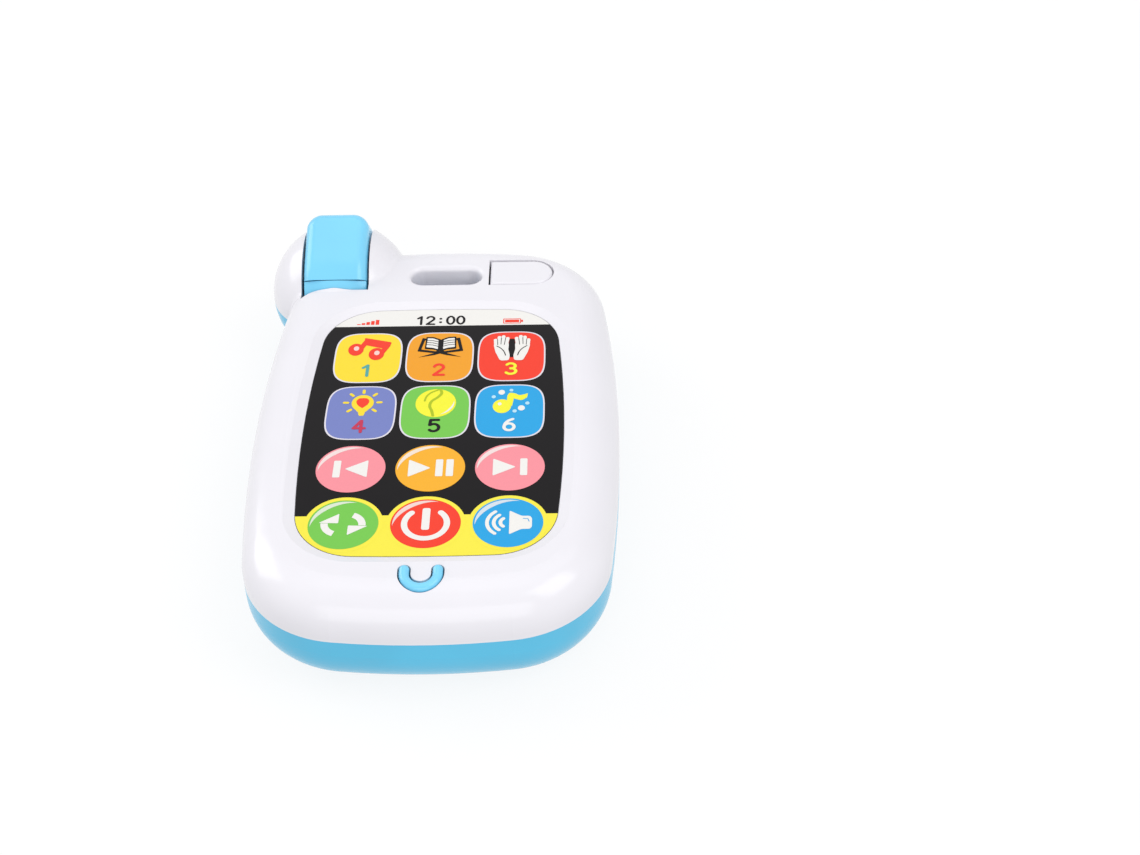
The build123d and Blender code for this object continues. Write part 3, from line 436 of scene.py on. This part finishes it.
def numeral_lines(figure):
    """Lines of a round-ended numeral, one unit tall, and the rings in it."""
    lines = {
        "0": [],
        "1": [[(-0.2, 0.26), (0.06, 0.48)], [(0.06, 0.48), (0.06, -0.48)]],
        "2": [
            arc((0, 0.22), (0.27, 0.27), 165, -38, 16),
            [(0.21, 0.06), (-0.27, -0.48)],
            [(-0.27, -0.48), (0.3, -0.48)],
        ],
        "3": [arc((-0.02, 0.25), (0.26, 0.24), 150, -90, 14), arc((-0.02, -0.23), (0.3, 0.26), 90, -150, 16)],
        "4": [[(0.1, 0.48), (-0.3, -0.16)], [(-0.3, -0.16), (0.32, -0.16)], [(0.12, 0.48), (0.12, -0.48)]],
        "5": [
            [(0.24, 0.48), (-0.2, 0.48)],
            [(-0.2, 0.48), (-0.24, 0.05)],
            arc((-0.01, -0.18), (0.29, 0.31), 130, -140, 18),
        ],
        "6": [smooth([(0.2, 0.47), (-0.05, 0.32), (-0.22, 0.08), (-0.28, -0.2)])],
        ":": [],
    }
    solid = (0, 0)
    rings = {
        "0": (((0, 0), (0.27, 0.48), 1),),
        "6": (((0, -0.2), (0.28, 0.29), 1),),
        ":": (((0, 0.2), solid, 1.2), ((0, -0.24), solid, 1.2)),
    }
    return lines[figure], rings.get(figure, ())


def numeral(text, height, centre, colour, level=3):
    """Layers of plain bold round-ended numerals."""
    weight = 0.19 * height
    advance = 0.78 * height
    layers = []
    for index, figure in enumerate(text):
        middle = centre[0] + advance * (index - (len(text) - 1) / 2)
        lines, rings = numeral_lines(figure)
        for line in lines:
            path = [(middle + x * height, centre[1] + y * height) for x, y in line]
            layers.append((colour, level, stroke(path, weight)))
        for (x, y), (across, along), bold in rings:
            place = (middle + x * height, centre[1] + y * height)
            edge = weight * bold / 2
            loops = [disc(place, (across * height + edge, along * height + edge))]
            if across:
                loops.append(disc(place, (across * height - edge, along * height - edge)))
            layers.append((colour, level, *loops))
    return layers


def placed(name, data):
    """A new object in the scene."""
    thing = bpy.data.objects.new(name, data)
    scene.collection.objects.link(thing)
    return thing


def print_sign(name, place, layers):
    """One sign on the film: layers of (ink, height in steps, outline, holes)."""
    mesh = bpy.data.meshes.new(name)
    points = []
    faces = []
    finishes = []
    used = []
    for order, (colour, level, *loops) in enumerate(layers):
        if colour not in used:
            used.append(colour)
        height = film_top + ink_step * level + ink_over * order
        first = len(points)
        loops = [[Vector((x, y, 0)) for x, y in loop] for loop in loops]
        for corner in (v for loop in loops for v in loop):
            points.append(((place[0] + corner.x) * MM, (place[1] + corner.y) * MM, height * MM))
        for patch in tessellate_polygon(loops):
            faces.append([first + index for index in patch])
            finishes.append(used.index(colour))
    mesh.from_pydata(points, [], faces)
    for colour in used:
        mesh.materials.append(inks[colour])
    for face, slot in zip(mesh.polygons, finishes):
        face.material_index = slot
    mesh.update()
    turn = bmesh.new()
    turn.from_mesh(mesh)
    for face in turn.faces:
        if face.normal.z < 0:
            face.normal_flip()
    turn.to_mesh(mesh)
    turn.free()
    sign = placed(name, mesh)
    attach(sign, "housing")


def film_cut(name, line, side, colour):
    """One coat of ink over the part of the film on one side of a line across it."""
    cut = bmesh.new()
    cut.from_mesh(nodes["screen_overlay"].data)
    top = [f for f in cut.faces if f.normal.z > 0.99 and f.calc_center_median().z > (film_top - 0.01) * MM]
    bmesh.ops.delete(cut, geom=[f for f in cut.faces if f not in top], context="FACES")
    everything = cut.verts[:] + cut.edges[:] + cut.faces[:]
    bmesh.ops.bisect_plane(
        cut, geom=everything, plane_co=(0, line * MM, 0), plane_no=(0, side, 0), clear_inner=True
    )
    bmesh.ops.translate(cut, verts=cut.verts, vec=(0, 0, ink_step * MM))
    mesh = bpy.data.meshes.new(name)
    cut.to_mesh(mesh)
    cut.free()
    mesh.materials.clear()
    mesh.materials.append(inks[colour])
    for face in mesh.polygons:
        face.material_index = 0
    patch = placed(name, mesh)
    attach(patch, "housing")


film_cut("print_strip", strip_line, 1, "white")
film_cut("print_foot", foot_line, -1, "foot_yellow")

# status signs on the strip: a charge sign, rising bars and a plain clock reading
bars = []
bar_pitch = 1.25
bar_width = 0.95
bar_rise = 0.45
for count in range(5):
    left = -23.2 + bar_pitch * count
    right = left + bar_width
    low = strip_line + 0.8
    high = low + 0.35 + bar_rise * count
    bars.append(("red", 2, [(left, low), (right, low), (right, high), (left, high)]))
print_sign("print_bars", (0, 0), bars)
print_sign(
    "print_charge",
    (19.0, 35.3),
    [
        ("red", 2, rounded([(-2.6, -1.1), (2.2, -1.1), (2.2, 1.1), (-2.6, 1.1)], 0.3),
         rounded([(-2.35, -0.85), (1.95, -0.85), (1.95, 0.85), (-2.35, 0.85)], 0.2)),
        ("red", 2, rounded([(-2.1, -0.6), (1.7, -0.6), (1.7, 0.6), (-2.1, 0.6)], 0.15)),
        ("red", 2, rounded([(2.25, -0.5), (2.75, -0.5), (2.75, 0.5), (2.25, 0.5)], 0.15)),
    ],
)
print_sign("print_clock", (-0.6, 36.0), numeral("12:00", 3.5, (0, 0), "black", 2))


tile_half_width = 8.57
tile_half_length = 10.2
tile_border = 0.4
numeral_height = 4.5
numeral_drop = 5.5  # below the middle of its tile


def tile(colour):
    """Ground of a square sign: a pale border round a coloured cushion."""
    border = cushion(tile_half_width + tile_border, tile_half_length + tile_border)
    return [("lilac_white", 1, border), (colour, 2, cushion(tile_half_width, tile_half_length))]


def beamed_notes():
    """Two notes joined by a beam."""
    layers = [
        ("red", 3, rounded([(-1.6, 8.6), (5.9, 6.5), (5.0, 3.4), (-1.1, 5.4)], 0.6)),
        ("red", 3, stroke([(-2.4, 3.6), (-0.75, 7.4)], 1.5)),
        ("red", 3, stroke([(3.3, 1.6), (4.85, 5.2)], 1.5)),
    ]
    for x, y in ((-3.5, 3.5), (2.1, 1.5)):
        layers.append(("red", 3, disc((x, y), (2.05, 2.6))))
        layers.append(("blush", 4, disc((x + 0.1, y + 0.45), (0.72, 0.95))))
    return layers


def open_book():
    """A book lying open on a folding stand."""
    cover = rounded([(-5.0, 8.2), (-0.1, 6.9), (-0.1, 1.3), (-6.1, 2.4)], 0.25)
    inside = rounded([(-4.3, 7.2), (-0.9, 6.3), (-0.9, 2.3), (-5.1, 3.2)], 0.2)
    block = rounded([(-4.0, 8.6), (-2.0, 8.5), (0.0, 7.4), (0.0, 2.2), (-1.8, 3.1), (-4.2, 3.4)], 0.3)
    page = rounded([(-3.6, 8.0), (-2.1, 7.9), (-0.7, 7.1), (-0.7, 3.2), (-2.0, 3.8), (-3.8, 4.1)], 0.25)
    leg = rounded([(-5.7, -0.2), (-2.6, 1.2), (1.0, 2.6), (1.3, 1.9), (-1.6, 0.7)], 0.2)
    layers = []
    for flip in (list, mirrored):
        layers.append(("black", 3, flip(cover), flip(inside)))
        layers.append(("black", 4, flip(block)))
        layers.append(("black", 3, flip(leg)))
        layers.append(("white", 5, flip(page)))
        for line in range(3):
            low = 4.6 + 0.95 * line
            writing = stroke([(-3.7, low + 0.6), (-2.1, low + 0.4), (-0.6, low - 0.2)], 0.22)
            layers.append(("black", 6, flip(writing)))
    return layers


def open_hands():
    """Two raised hands, palms out, with the dark between them."""
    palm = rounded([
        (-4.3, 1.6), (-3.0, -2.0), (-0.7, -1.9), (-0.45, 0.2), (-0.95, 2.8), (-0.8, 5.0),
        (-1.3, 6.6), (-4.2, 6.4), (-4.9, 4.9),
    ], 0.7)
    fingers = (
        ((-4.2, 4.4), (-4.4, 6.9)),
        ((-3.4, 5.0), (-3.4, 8.1)),
        ((-2.5, 5.0), (-2.3, 8.4)),
        ((-1.6, 4.6), (-1.2, 7.6)),
    )
    crease = stroke(smooth([(-4.0, 4.2), (-2.9, 3.2), (-2.0, 1.7), (-1.6, 0.2)]), 0.26)
    dark = rounded([(-0.6, -0.6), (0.6, -0.6), (1.1, 2.8), (0.7, 7.4), (-0.7, 7.4), (-1.1, 2.8)], 0.6)
    layers = [("black", 3, dark)]
    for flip in (list, mirrored):
        for root, tip in fingers:
            layers.append(("white", 4, flip(stroke([root, tip], 1.02))))
        layers.append(("white", 4, flip(palm)))
        for one, other in zip(fingers, fingers[1:]):
            low, high = [(Vector(first) + Vector(second)) / 2 for first, second in zip(one, other)]
            layers.append(("black", 5, flip(stroke([low, high - Vector((0, 0.4))], 0.17))))
        layers.append(("black", 5, flip(crease)))
    return layers


def lit_bulb():
    """A bulb with a glowing heart and seven rays."""
    middle = Vector((0.2, 3.8))
    glass = arc(middle, (2.85, 3.2), -52, 232, 30) + [(-0.85, 0.2), (1.25, 0.2)]
    heart = smooth([
        (0.2, 1.7), (-1.0, 3.0), (-1.45, 4.4), (-0.9, 5.5), (0.2, 5.7), (1.3, 5.5), (1.85, 4.4), (1.4, 3.0),
        (0.2, 1.7),
    ])
    layers = [
        ("yellow", 3, rounded(glass, 0.3, 2)),
        ("yellow", 3, rounded([(-0.75, 0.2), (1.15, 0.2), (0.8, -1.3), (-0.4, -1.3)], 0.3)),
        ("red", 4, heart[:-1]),
    ]
    for count in range(7):
        angle = math.radians(-42 + 44 * count)
        along = Vector((math.cos(angle), math.sin(angle) * 1.05))
        layers.append(("yellow", 3, stroke([middle + along * 3.85, middle + along * 4.75], 0.8)))
    return layers


def leaf_disc():
    """A round leaf with a winding vein."""
    vein = smooth([(1.0, 8.7), (1.3, 7.3), (0.4, 5.7), (-1.1, 4.1), (-1.5, 2.2), (-0.9, 0.3), (-0.5, -1.6)])
    side = smooth([(0.4, 8.7), (-1.4, 7.6), (-2.5, 6.1), (-2.9, 4.3)])
    return [
        ("lime", 3, disc((0, 3.4), (5.2, 5.6))),
        ("leaf", 4, stroke(vein, 0.75)),
        ("leaf", 4, stroke(side, 0.5)),
        ("white", 4, crescent((0, 3.4), 4.75, -75, 10, 0.55)),
    ]


def bubble_note():
    """A note among bubbles."""
    top = smooth([(-0.7, 6.0), (-0.1, 7.1), (1.3, 6.9), (2.6, 6.2), (4.6, 6.9)])
    under = smooth([(4.4, 5.3), (3.1, 4.2), (1.8, 4.5), (1.0, 4.9)])
    layers = [
        ("lime", 3, top + under + [Vector((0.6, 1.9)), Vector((-0.9, 1.9))]),
        ("lime", 3, disc((-2.0, 1.8), (2.35, 2.75))),
        ("white", 4, disc((-2.6, 2.7), (0.5, 0.6))),
    ]
    for x, y, radius, colour in (
        (-2.2, 7.4, 0.85, "white"), (0.3, 8.2, 0.5, "pale_blue"), (-4.2, 5.6, 0.55, "pale_blue"),
        (3.0, 1.0, 0.9, "white"), (4.5, 2.9, 0.55, "pale_blue"), (1.3, -0.2, 0.55, "pale_blue"),
    ):
        layers.append((colour, 3, disc((x, y), (radius, radius * 1.15), 24)))
    return layers


squares = (
    ("melody", "yellow", beamed_notes, "1", "teal"),
    ("story", "orange", open_book, "2", "red"),
    ("hands", "red", open_hands, "3", "lime"),
    ("light", "violet", lit_bulb, "4", "crimson"),
    ("nature", "green", leaf_disc, "5", "black"),
    ("nursery", "sky", bubble_note, "6", "white"),
)
for index, (name, colour, picture, number, number_colour) in enumerate(squares):
    row, column = divmod(index, 3)
    place = ((column - 1) * square_pitch, square_rows[row])
    figure = numeral(number, numeral_height, (0, -numeral_drop), number_colour)
    print_sign("print_" + name, place, tile(colour) + picture() + figure)


round_radii = (8.57, 8.4)  # in the upper and the lower row
foot_radius = 9.5  # bulges of the yellow foot behind the lower row
glint_inset = 0.45
glint_width = 1.3


def button(colour, radius):
    """Ground of a round sign: a disc with a soft glint along its upper left."""
    glint = crescent((0, 0), radius - glint_inset, 70, 185, glint_width)
    return [(colour, 3, disc((0, 0), radius, 64)), (colour + "_glint", 4, glint)]


def bar(x, half_width=0.9, half_height=3.1):
    """An upright bar."""
    left = x - half_width
    right = x + half_width
    corners = [(left, -half_height), (right, -half_height), (right, half_height), (left, half_height)]
    return rounded(corners, 0.35)


def arrow(base, tip, half_height=3.2):
    """A solid arrowhead."""
    return rounded([(base, half_height), (tip, 0), (base, -half_height)], 0.5)


def previous():
    return [("white", 4, bar(-3.4)), ("white", 4, arrow(4.2, -1.5))]


def play():
    return [("white", 4, arrow(-5.4, 0.1)), ("white", 4, bar(2.2)), ("white", 4, bar(4.8))]


def following():
    return [("white", 4, arrow(-4.2, 1.5)), ("white", 4, bar(3.4))]


def repeat():
    middle = (-0.9, 0.3)
    shaft = arc(middle, 4.5, 250, 178, 12) + arc(middle, 2.75, 178, 250, 12)
    head = rounded([(-5.9, 0.6), (-1.2, 3.7), (-1.2, 0.4)], 0.3)
    return [("white", 4, outline) for part in (shaft, head) for outline in (part, turned_half(part))]


def power():
    ring = stroke(arc((0, 0), 5.1, 133, 407, 40), 1.5)
    stem = rounded([(-0.95, -2.2), (0.95, -2.2), (0.95, 5.3), (-0.95, 5.3)], 0.6)
    return [("white", 4, ring), ("white", 4, stem)]


def loudspeaker():
    horn = rounded([
        (0.3, 4.1), (3.2, 2.2), (5.2, 2.2), (5.7, 1.4), (5.7, -1.6), (5.2, -2.3), (3.2, -2.3), (0.3, -4.1),
    ], 0.5)
    layers = [("white", 4, horn), ("sky", 5, stroke([(3.6, 1.3), (4.7, 1.2), (5.0, 0.3)], 0.22))]
    for radius in (1.8, 3.4, 5.0):
        layers.append(("white", 4, stroke(arc((0, 0), (radius, radius * 0.95), 128, 232, 12), 0.9)))
    return layers


rounds = (
    ("previous", "rose", previous),
    ("play", "sun", play),
    ("next", "rose", following),
    ("repeat", "green", repeat),
    ("power", "red", power),
    ("volume", "sky", loudspeaker),
)
for index, (name, colour, picture) in enumerate(rounds):
    row, column = divmod(index, 3)
    ground = [("foot_yellow", 2, disc((0, 0), foot_radius, 64))] if row else []
    place = ((column - 1) * round_pitch, round_rows[row])
    print_sign("print_" + name, place, ground + button(colour, round_radii[row]) + picture())


# ---------------------------------------------------------------- smile button
# A curved blue key at the foot of the face, moulded in a paler mix than the tray.
# It comes up through its hole from inside and is held by its flange.
pale_blue_abs = glossy_moulding("pale_blue_abs", (0.19, 0.62, 0.88), 0.15)
finish(pale_blue_abs, "smile_button")


# ---------------------------------------------------------------- projector head
# Two halves of the same paler blue ABS on hollow pins, with a clear lens, a slide film,
# a bright reflector and a small lamp inside.
finish(pale_blue_abs, "head_front", "head_back")


def clear_acrylic():
    """Clear acrylic with a faint blue cast, for the lens."""
    material, tree, shader = new_material("clear_acrylic")
    polished(tree, shader, noise(tree, 2), 0.02, 0.06)
    tinted(tree, shader, noise(tree, 5), (0.85, 0.93, 0.97), (0.9, 0.96, 1.0))
    shader.inputs["Transmission Weight"].default_value = 0.9
    shader.inputs["IOR"].default_value = 1.49
    return material


def slide_film():
    """A dark film with small bright pictures."""
    material, tree, shader = new_material("slide_film")
    place = tree.nodes.new("ShaderNodeTexCoord")
    dots = tree.nodes.new("ShaderNodeTexVoronoi")
    dots.inputs["Scale"].default_value = 600
    tree.links.new(place.outputs["Object"], dots.inputs["Vector"])
    spots = spread(tree, dots.outputs["Distance"], 1, 0, 0.25, 0.35)
    tinted(tree, shader, spots, (0.02, 0.03, 0.07), (0.7, 0.6, 0.2))
    polished(tree, shader, noise(tree, 1), 0.15, 0.25)
    return material


def bright_reflector():
    """Vacuum-plated plastic, bright as a mirror."""
    material, tree, shader = new_material("bright_reflector")
    tinted(tree, shader, noise(tree, 1), (0.75, 0.75, 0.76), (0.85, 0.85, 0.86))
    polished(tree, shader, noise(tree, 0.5), 0.06, 0.14)
    shader.inputs["Metallic"].default_value = 1.0
    return material


def lamp_epoxy():
    """Cloudy clear resin of the lamp."""
    material, tree, shader = new_material("lamp_epoxy")
    tinted(tree, shader, noise(tree, 1), (0.8, 0.8, 0.7), (0.9, 0.9, 0.8))
    polished(tree, shader, noise(tree, 0.5), 0.1, 0.2)
    shader.inputs["Transmission Weight"].default_value = 0.5
    return material


finish(clear_acrylic(), "lens")
finish(slide_film(), "film_slide")
finish(bright_reflector(), "led_reflector")
finish(lamp_epoxy(), "led")


# ---------------------------------------------------------------- screws
# Plated steel pan-head screws with a cross recess: six deep in the back and one in the
# battery door. Four more, out of sight, hold the board.
finish(steel, "board_screws")
screw_radius = 2.5
screw_head = 1.8
shank_radius = 1.25
thread_pitch = 0.9
thread_root = 0.78  # root of the thread as a share of the shank
thread_end = 1.0  # plain length behind the tip
point_share = 0.25  # the tip as a share of the shank
cross_reach = 1.45
cross_arm = 0.36
cross_depth = 1.0


def cross_outline(reach, arm):
    """Outline of a cross, its arms reach long and twice arm wide."""
    corners = []
    for quarter in range(4):
        for x, y in ((reach, -arm), (reach, arm), (arm, arm)):
            corners.append(rotated(Vector((x, y)), math.pi / 2 * quarter))
    return corners


def loop_at(mesh, place, outline, height):
    """A ring of corners in a mesh: an outline about a place, at a height."""
    return [mesh.verts.new(((place[0] + x) * MM, (place[1] + y) * MM, height * MM)) for x, y in outline]


def pan_screw(mesh, place, low, tip):
    """A pan head facing down with a cross recess, and a threaded shank up to its tip."""
    segments = 40
    neck = low + screw_head
    profile = [
        (screw_radius * 0.8, low),
        (screw_radius * 0.95, low + 0.25),
        (screw_radius, low + 0.7),
        (screw_radius, neck),
        (shank_radius, neck),
    ]
    for turn in range(int((tip - neck - thread_end) / thread_pitch)):
        for radius, share in ((1, 0.5), (thread_root, 0.7), (thread_root, 0.8), (1, 1)):
            profile.append((shank_radius * radius, neck + thread_pitch * (turn + share)))
    profile.append((shank_radius * point_share, tip))
    loops = [loop_at(mesh, place, disc((0, 0), radius, segments), height) for radius, height in profile]
    for lower, upper in zip(loops, loops[1:]):
        for step in range(segments):
            after = (step + 1) % segments
            mesh.faces.new((lower[step], lower[after], upper[after], upper[step]))
    mesh.faces.new(loops[-1])
    edge = loop_at(mesh, place, cross_outline(cross_reach, cross_arm), low)
    deep = loop_at(mesh, place, cross_outline(cross_reach * 0.45, cross_arm * 0.7), low + cross_depth)
    rim = loops[0] + edge
    flat = [[v.co.xy.to_3d() for v in loops[0]], [v.co.xy.to_3d() for v in edge]]
    for patch in tessellate_polygon(flat):
        mesh.faces.new([rim[index] for index in patch])
    for step in range(len(edge)):
        after = (step + 1) % len(edge)
        mesh.faces.new((edge[step], edge[after], deep[after], deep[step]))
    mesh.faces.new(deep)


def solid_boxes(node):
    """Lowest and highest corners, in millimetres, of each separate solid in a CAD node."""
    mesh = bmesh.new()
    mesh.from_mesh(nodes[node].data)
    bmesh.ops.remove_doubles(mesh, verts=mesh.verts, dist=0.001 * MM)
    reached = set()
    boxes = []
    for first in mesh.verts:
        if first in reached:
            continue
        reached.add(first)
        front = [first]
        group = []
        while front:
            corner = front.pop()
            group.append(corner.co / MM)
            for edge in corner.link_edges:
                other = edge.other_vert(corner)
                if other not in reached:
                    reached.add(other)
                    front.append(other)
        boxes.append([Vector(map(pick, zip(*group))) for pick in (min, max)])
    mesh.free()
    return boxes


def screw_set(name, node, body):
    """Screws in place of each one in a CAD node."""
    build = bmesh.new()
    for low, high in solid_boxes(node):
        middle = (low + high) / 2
        pan_screw(build, (middle.x, middle.y), low.z, high.z)
    bmesh.ops.recalc_face_normals(build, faces=build.faces)
    mesh = bpy.data.meshes.new(name)
    build.to_mesh(mesh)
    build.free()
    mesh.materials.append(steel)
    screws = placed(name, mesh)
    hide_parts(node)
    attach(screws, body)


screw_set("case_screws", "housing_screws", "housing")
screw_set("door_screw", "battery_door_screw", "battery_cover")


# ---------------------------------------------------------------- floor, light and camera
# A plain white sweep with soft lights overhead, in front and to both sides. The sweep is clear
# from beneath, so that the back of the toy can be looked at where it lies.
def larger(tree, one, other):
    """The larger of two values."""
    pick = tree.nodes.new("ShaderNodeMath")
    pick.operation = "MAXIMUM"
    tree.links.new(one, pick.inputs[0])
    tree.links.new(other, pick.inputs[1])
    return pick.outputs["Value"]


def blended(tree, share, first, second):
    """The first shader where share is nought, the second where it is one."""
    mix = tree.nodes.new("ShaderNodeMixShader")
    tree.links.new(share, mix.inputs["Fac"])
    tree.links.new(first, mix.inputs[1])
    tree.links.new(second, mix.inputs[2])
    return mix.outputs["Shader"]


def seen_rays(tree):
    """One for rays that the eye, a mirror or a clear piece sends, nought for the rest."""
    rays = tree.nodes.new("ShaderNodeLightPath").outputs
    eye_or_mirror = larger(tree, rays["Is Camera Ray"], rays["Is Glossy Ray"])
    return larger(tree, eye_or_mirror, rays["Is Transmission Ray"])


paper_white = 0.85  # share of the sweep that shows plain white; the rest takes light and shadow


def sweep_paper():
    """White paper that shows white to the eye, takes the shadow and is clear from beneath."""
    material, tree, shader = new_material("sweep_paper")
    fibres = noise(tree, 8, 2)
    tinted(tree, shader, fibres, (0.93, 0.93, 0.935), (0.95, 0.95, 0.955))
    polished(tree, shader, fibres, 0.9, 1.0)
    shader.inputs["Specular IOR Level"].default_value = 0.0
    glow = tree.nodes.new("ShaderNodeEmission")
    glow.inputs["Color"].default_value = (1, 1, 1, 1)
    glow.inputs["Strength"].default_value = 1.0
    share = tree.nodes.new("ShaderNodeMath")
    share.operation = "MULTIPLY"
    share.inputs[1].default_value = paper_white
    tree.links.new(seen_rays(tree), share.inputs[0])
    paper = blended(tree, share.outputs["Value"], shader.outputs["BSDF"], glow.outputs["Emission"])
    rays = tree.nodes.new("ShaderNodeLightPath")
    side = tree.nodes.new("ShaderNodeNewGeometry")
    through = larger(tree, rays.outputs["Is Diffuse Ray"], side.outputs["Backfacing"])
    nothing = tree.nodes.new("ShaderNodeBsdfTransparent")
    sheet = blended(tree, through, paper, nothing.outputs["BSDF"])
    tree.links.new(sheet, tree.nodes["Material Output"].inputs["Surface"])
    return material


floor_mesh = bpy.data.meshes.new("floor")
floor_reach = 4.0
floor_level = -0.0003  # just clear of the flat back
floor_square = ((-1, -1), (1, -1), (1, 1), (-1, 1))
floor_corners = [(x * floor_reach, y * floor_reach, floor_level) for x, y in floor_square]
floor_mesh.from_pydata(floor_corners, [], [(0, 1, 2, 3)])
floor_mesh.materials.append(sweep_paper())
floor = placed("floor", floor_mesh)

world = bpy.data.worlds.new("studio")
scene.world = world
world.use_nodes = True
sky = world.node_tree
ambient = sky.nodes["Background"]
ambient.inputs["Color"].default_value = (0.98, 0.985, 1.0, 1)
ambient.inputs["Strength"].default_value = 0.68
seen = sky.nodes.new("ShaderNodeBackground")
seen.inputs["Color"].default_value = (1, 1, 1, 1)
seen.inputs["Strength"].default_value = 1.0
backdrop = blended(sky, seen_rays(sky), ambient.outputs["Background"], seen.outputs["Background"])
sky.links.new(backdrop, sky.nodes["World Output"].inputs["Surface"])


def softbox(name, place, aim, size, power):
    """A soft light at place, turned to aim, its two sides given by size."""
    light = bpy.data.lights.new(name, "AREA")
    light.shape = "RECTANGLE"
    light.size, light.size_y = size
    light.energy = power
    lamp = placed(name, light)
    lamp.location = place
    lamp.rotation_euler = (Vector(aim) - Vector(place)).to_track_quat("-Z", "Y").to_euler()


softbox("softbox_top", (0.1, 0.35, 1.3), (0, 0, 0), (1.2, 1.0), 2.0)
softbox("softbox_front", (0, -1.25, 0.55), (0, 0, 0.02), (1.4, 0.9), 5.8)
softbox("softbox_left", (-1.14, 0.48, 0.66), (0, 0, 0.02), (0.9, 0.9), 6.2)
softbox("softbox_right", (0.87, -0.34, 1.04), (0, 0, 0.02), (0.8, 0.8), 5.0)

camera_data = bpy.data.cameras.new("camera")
camera_data.sensor_width = 36.0
camera_data.lens = 56.62
camera_data.clip_start = 0.02
camera = placed("camera", camera_data)
camera.location = (0.03804, -0.35335, 0.32248)
camera.rotation_euler = [math.radians(angle) for angle in (49.5645, 0.8586, -0.1246)]
scene.camera = camera
scene.view_settings.view_transform = "Standard"
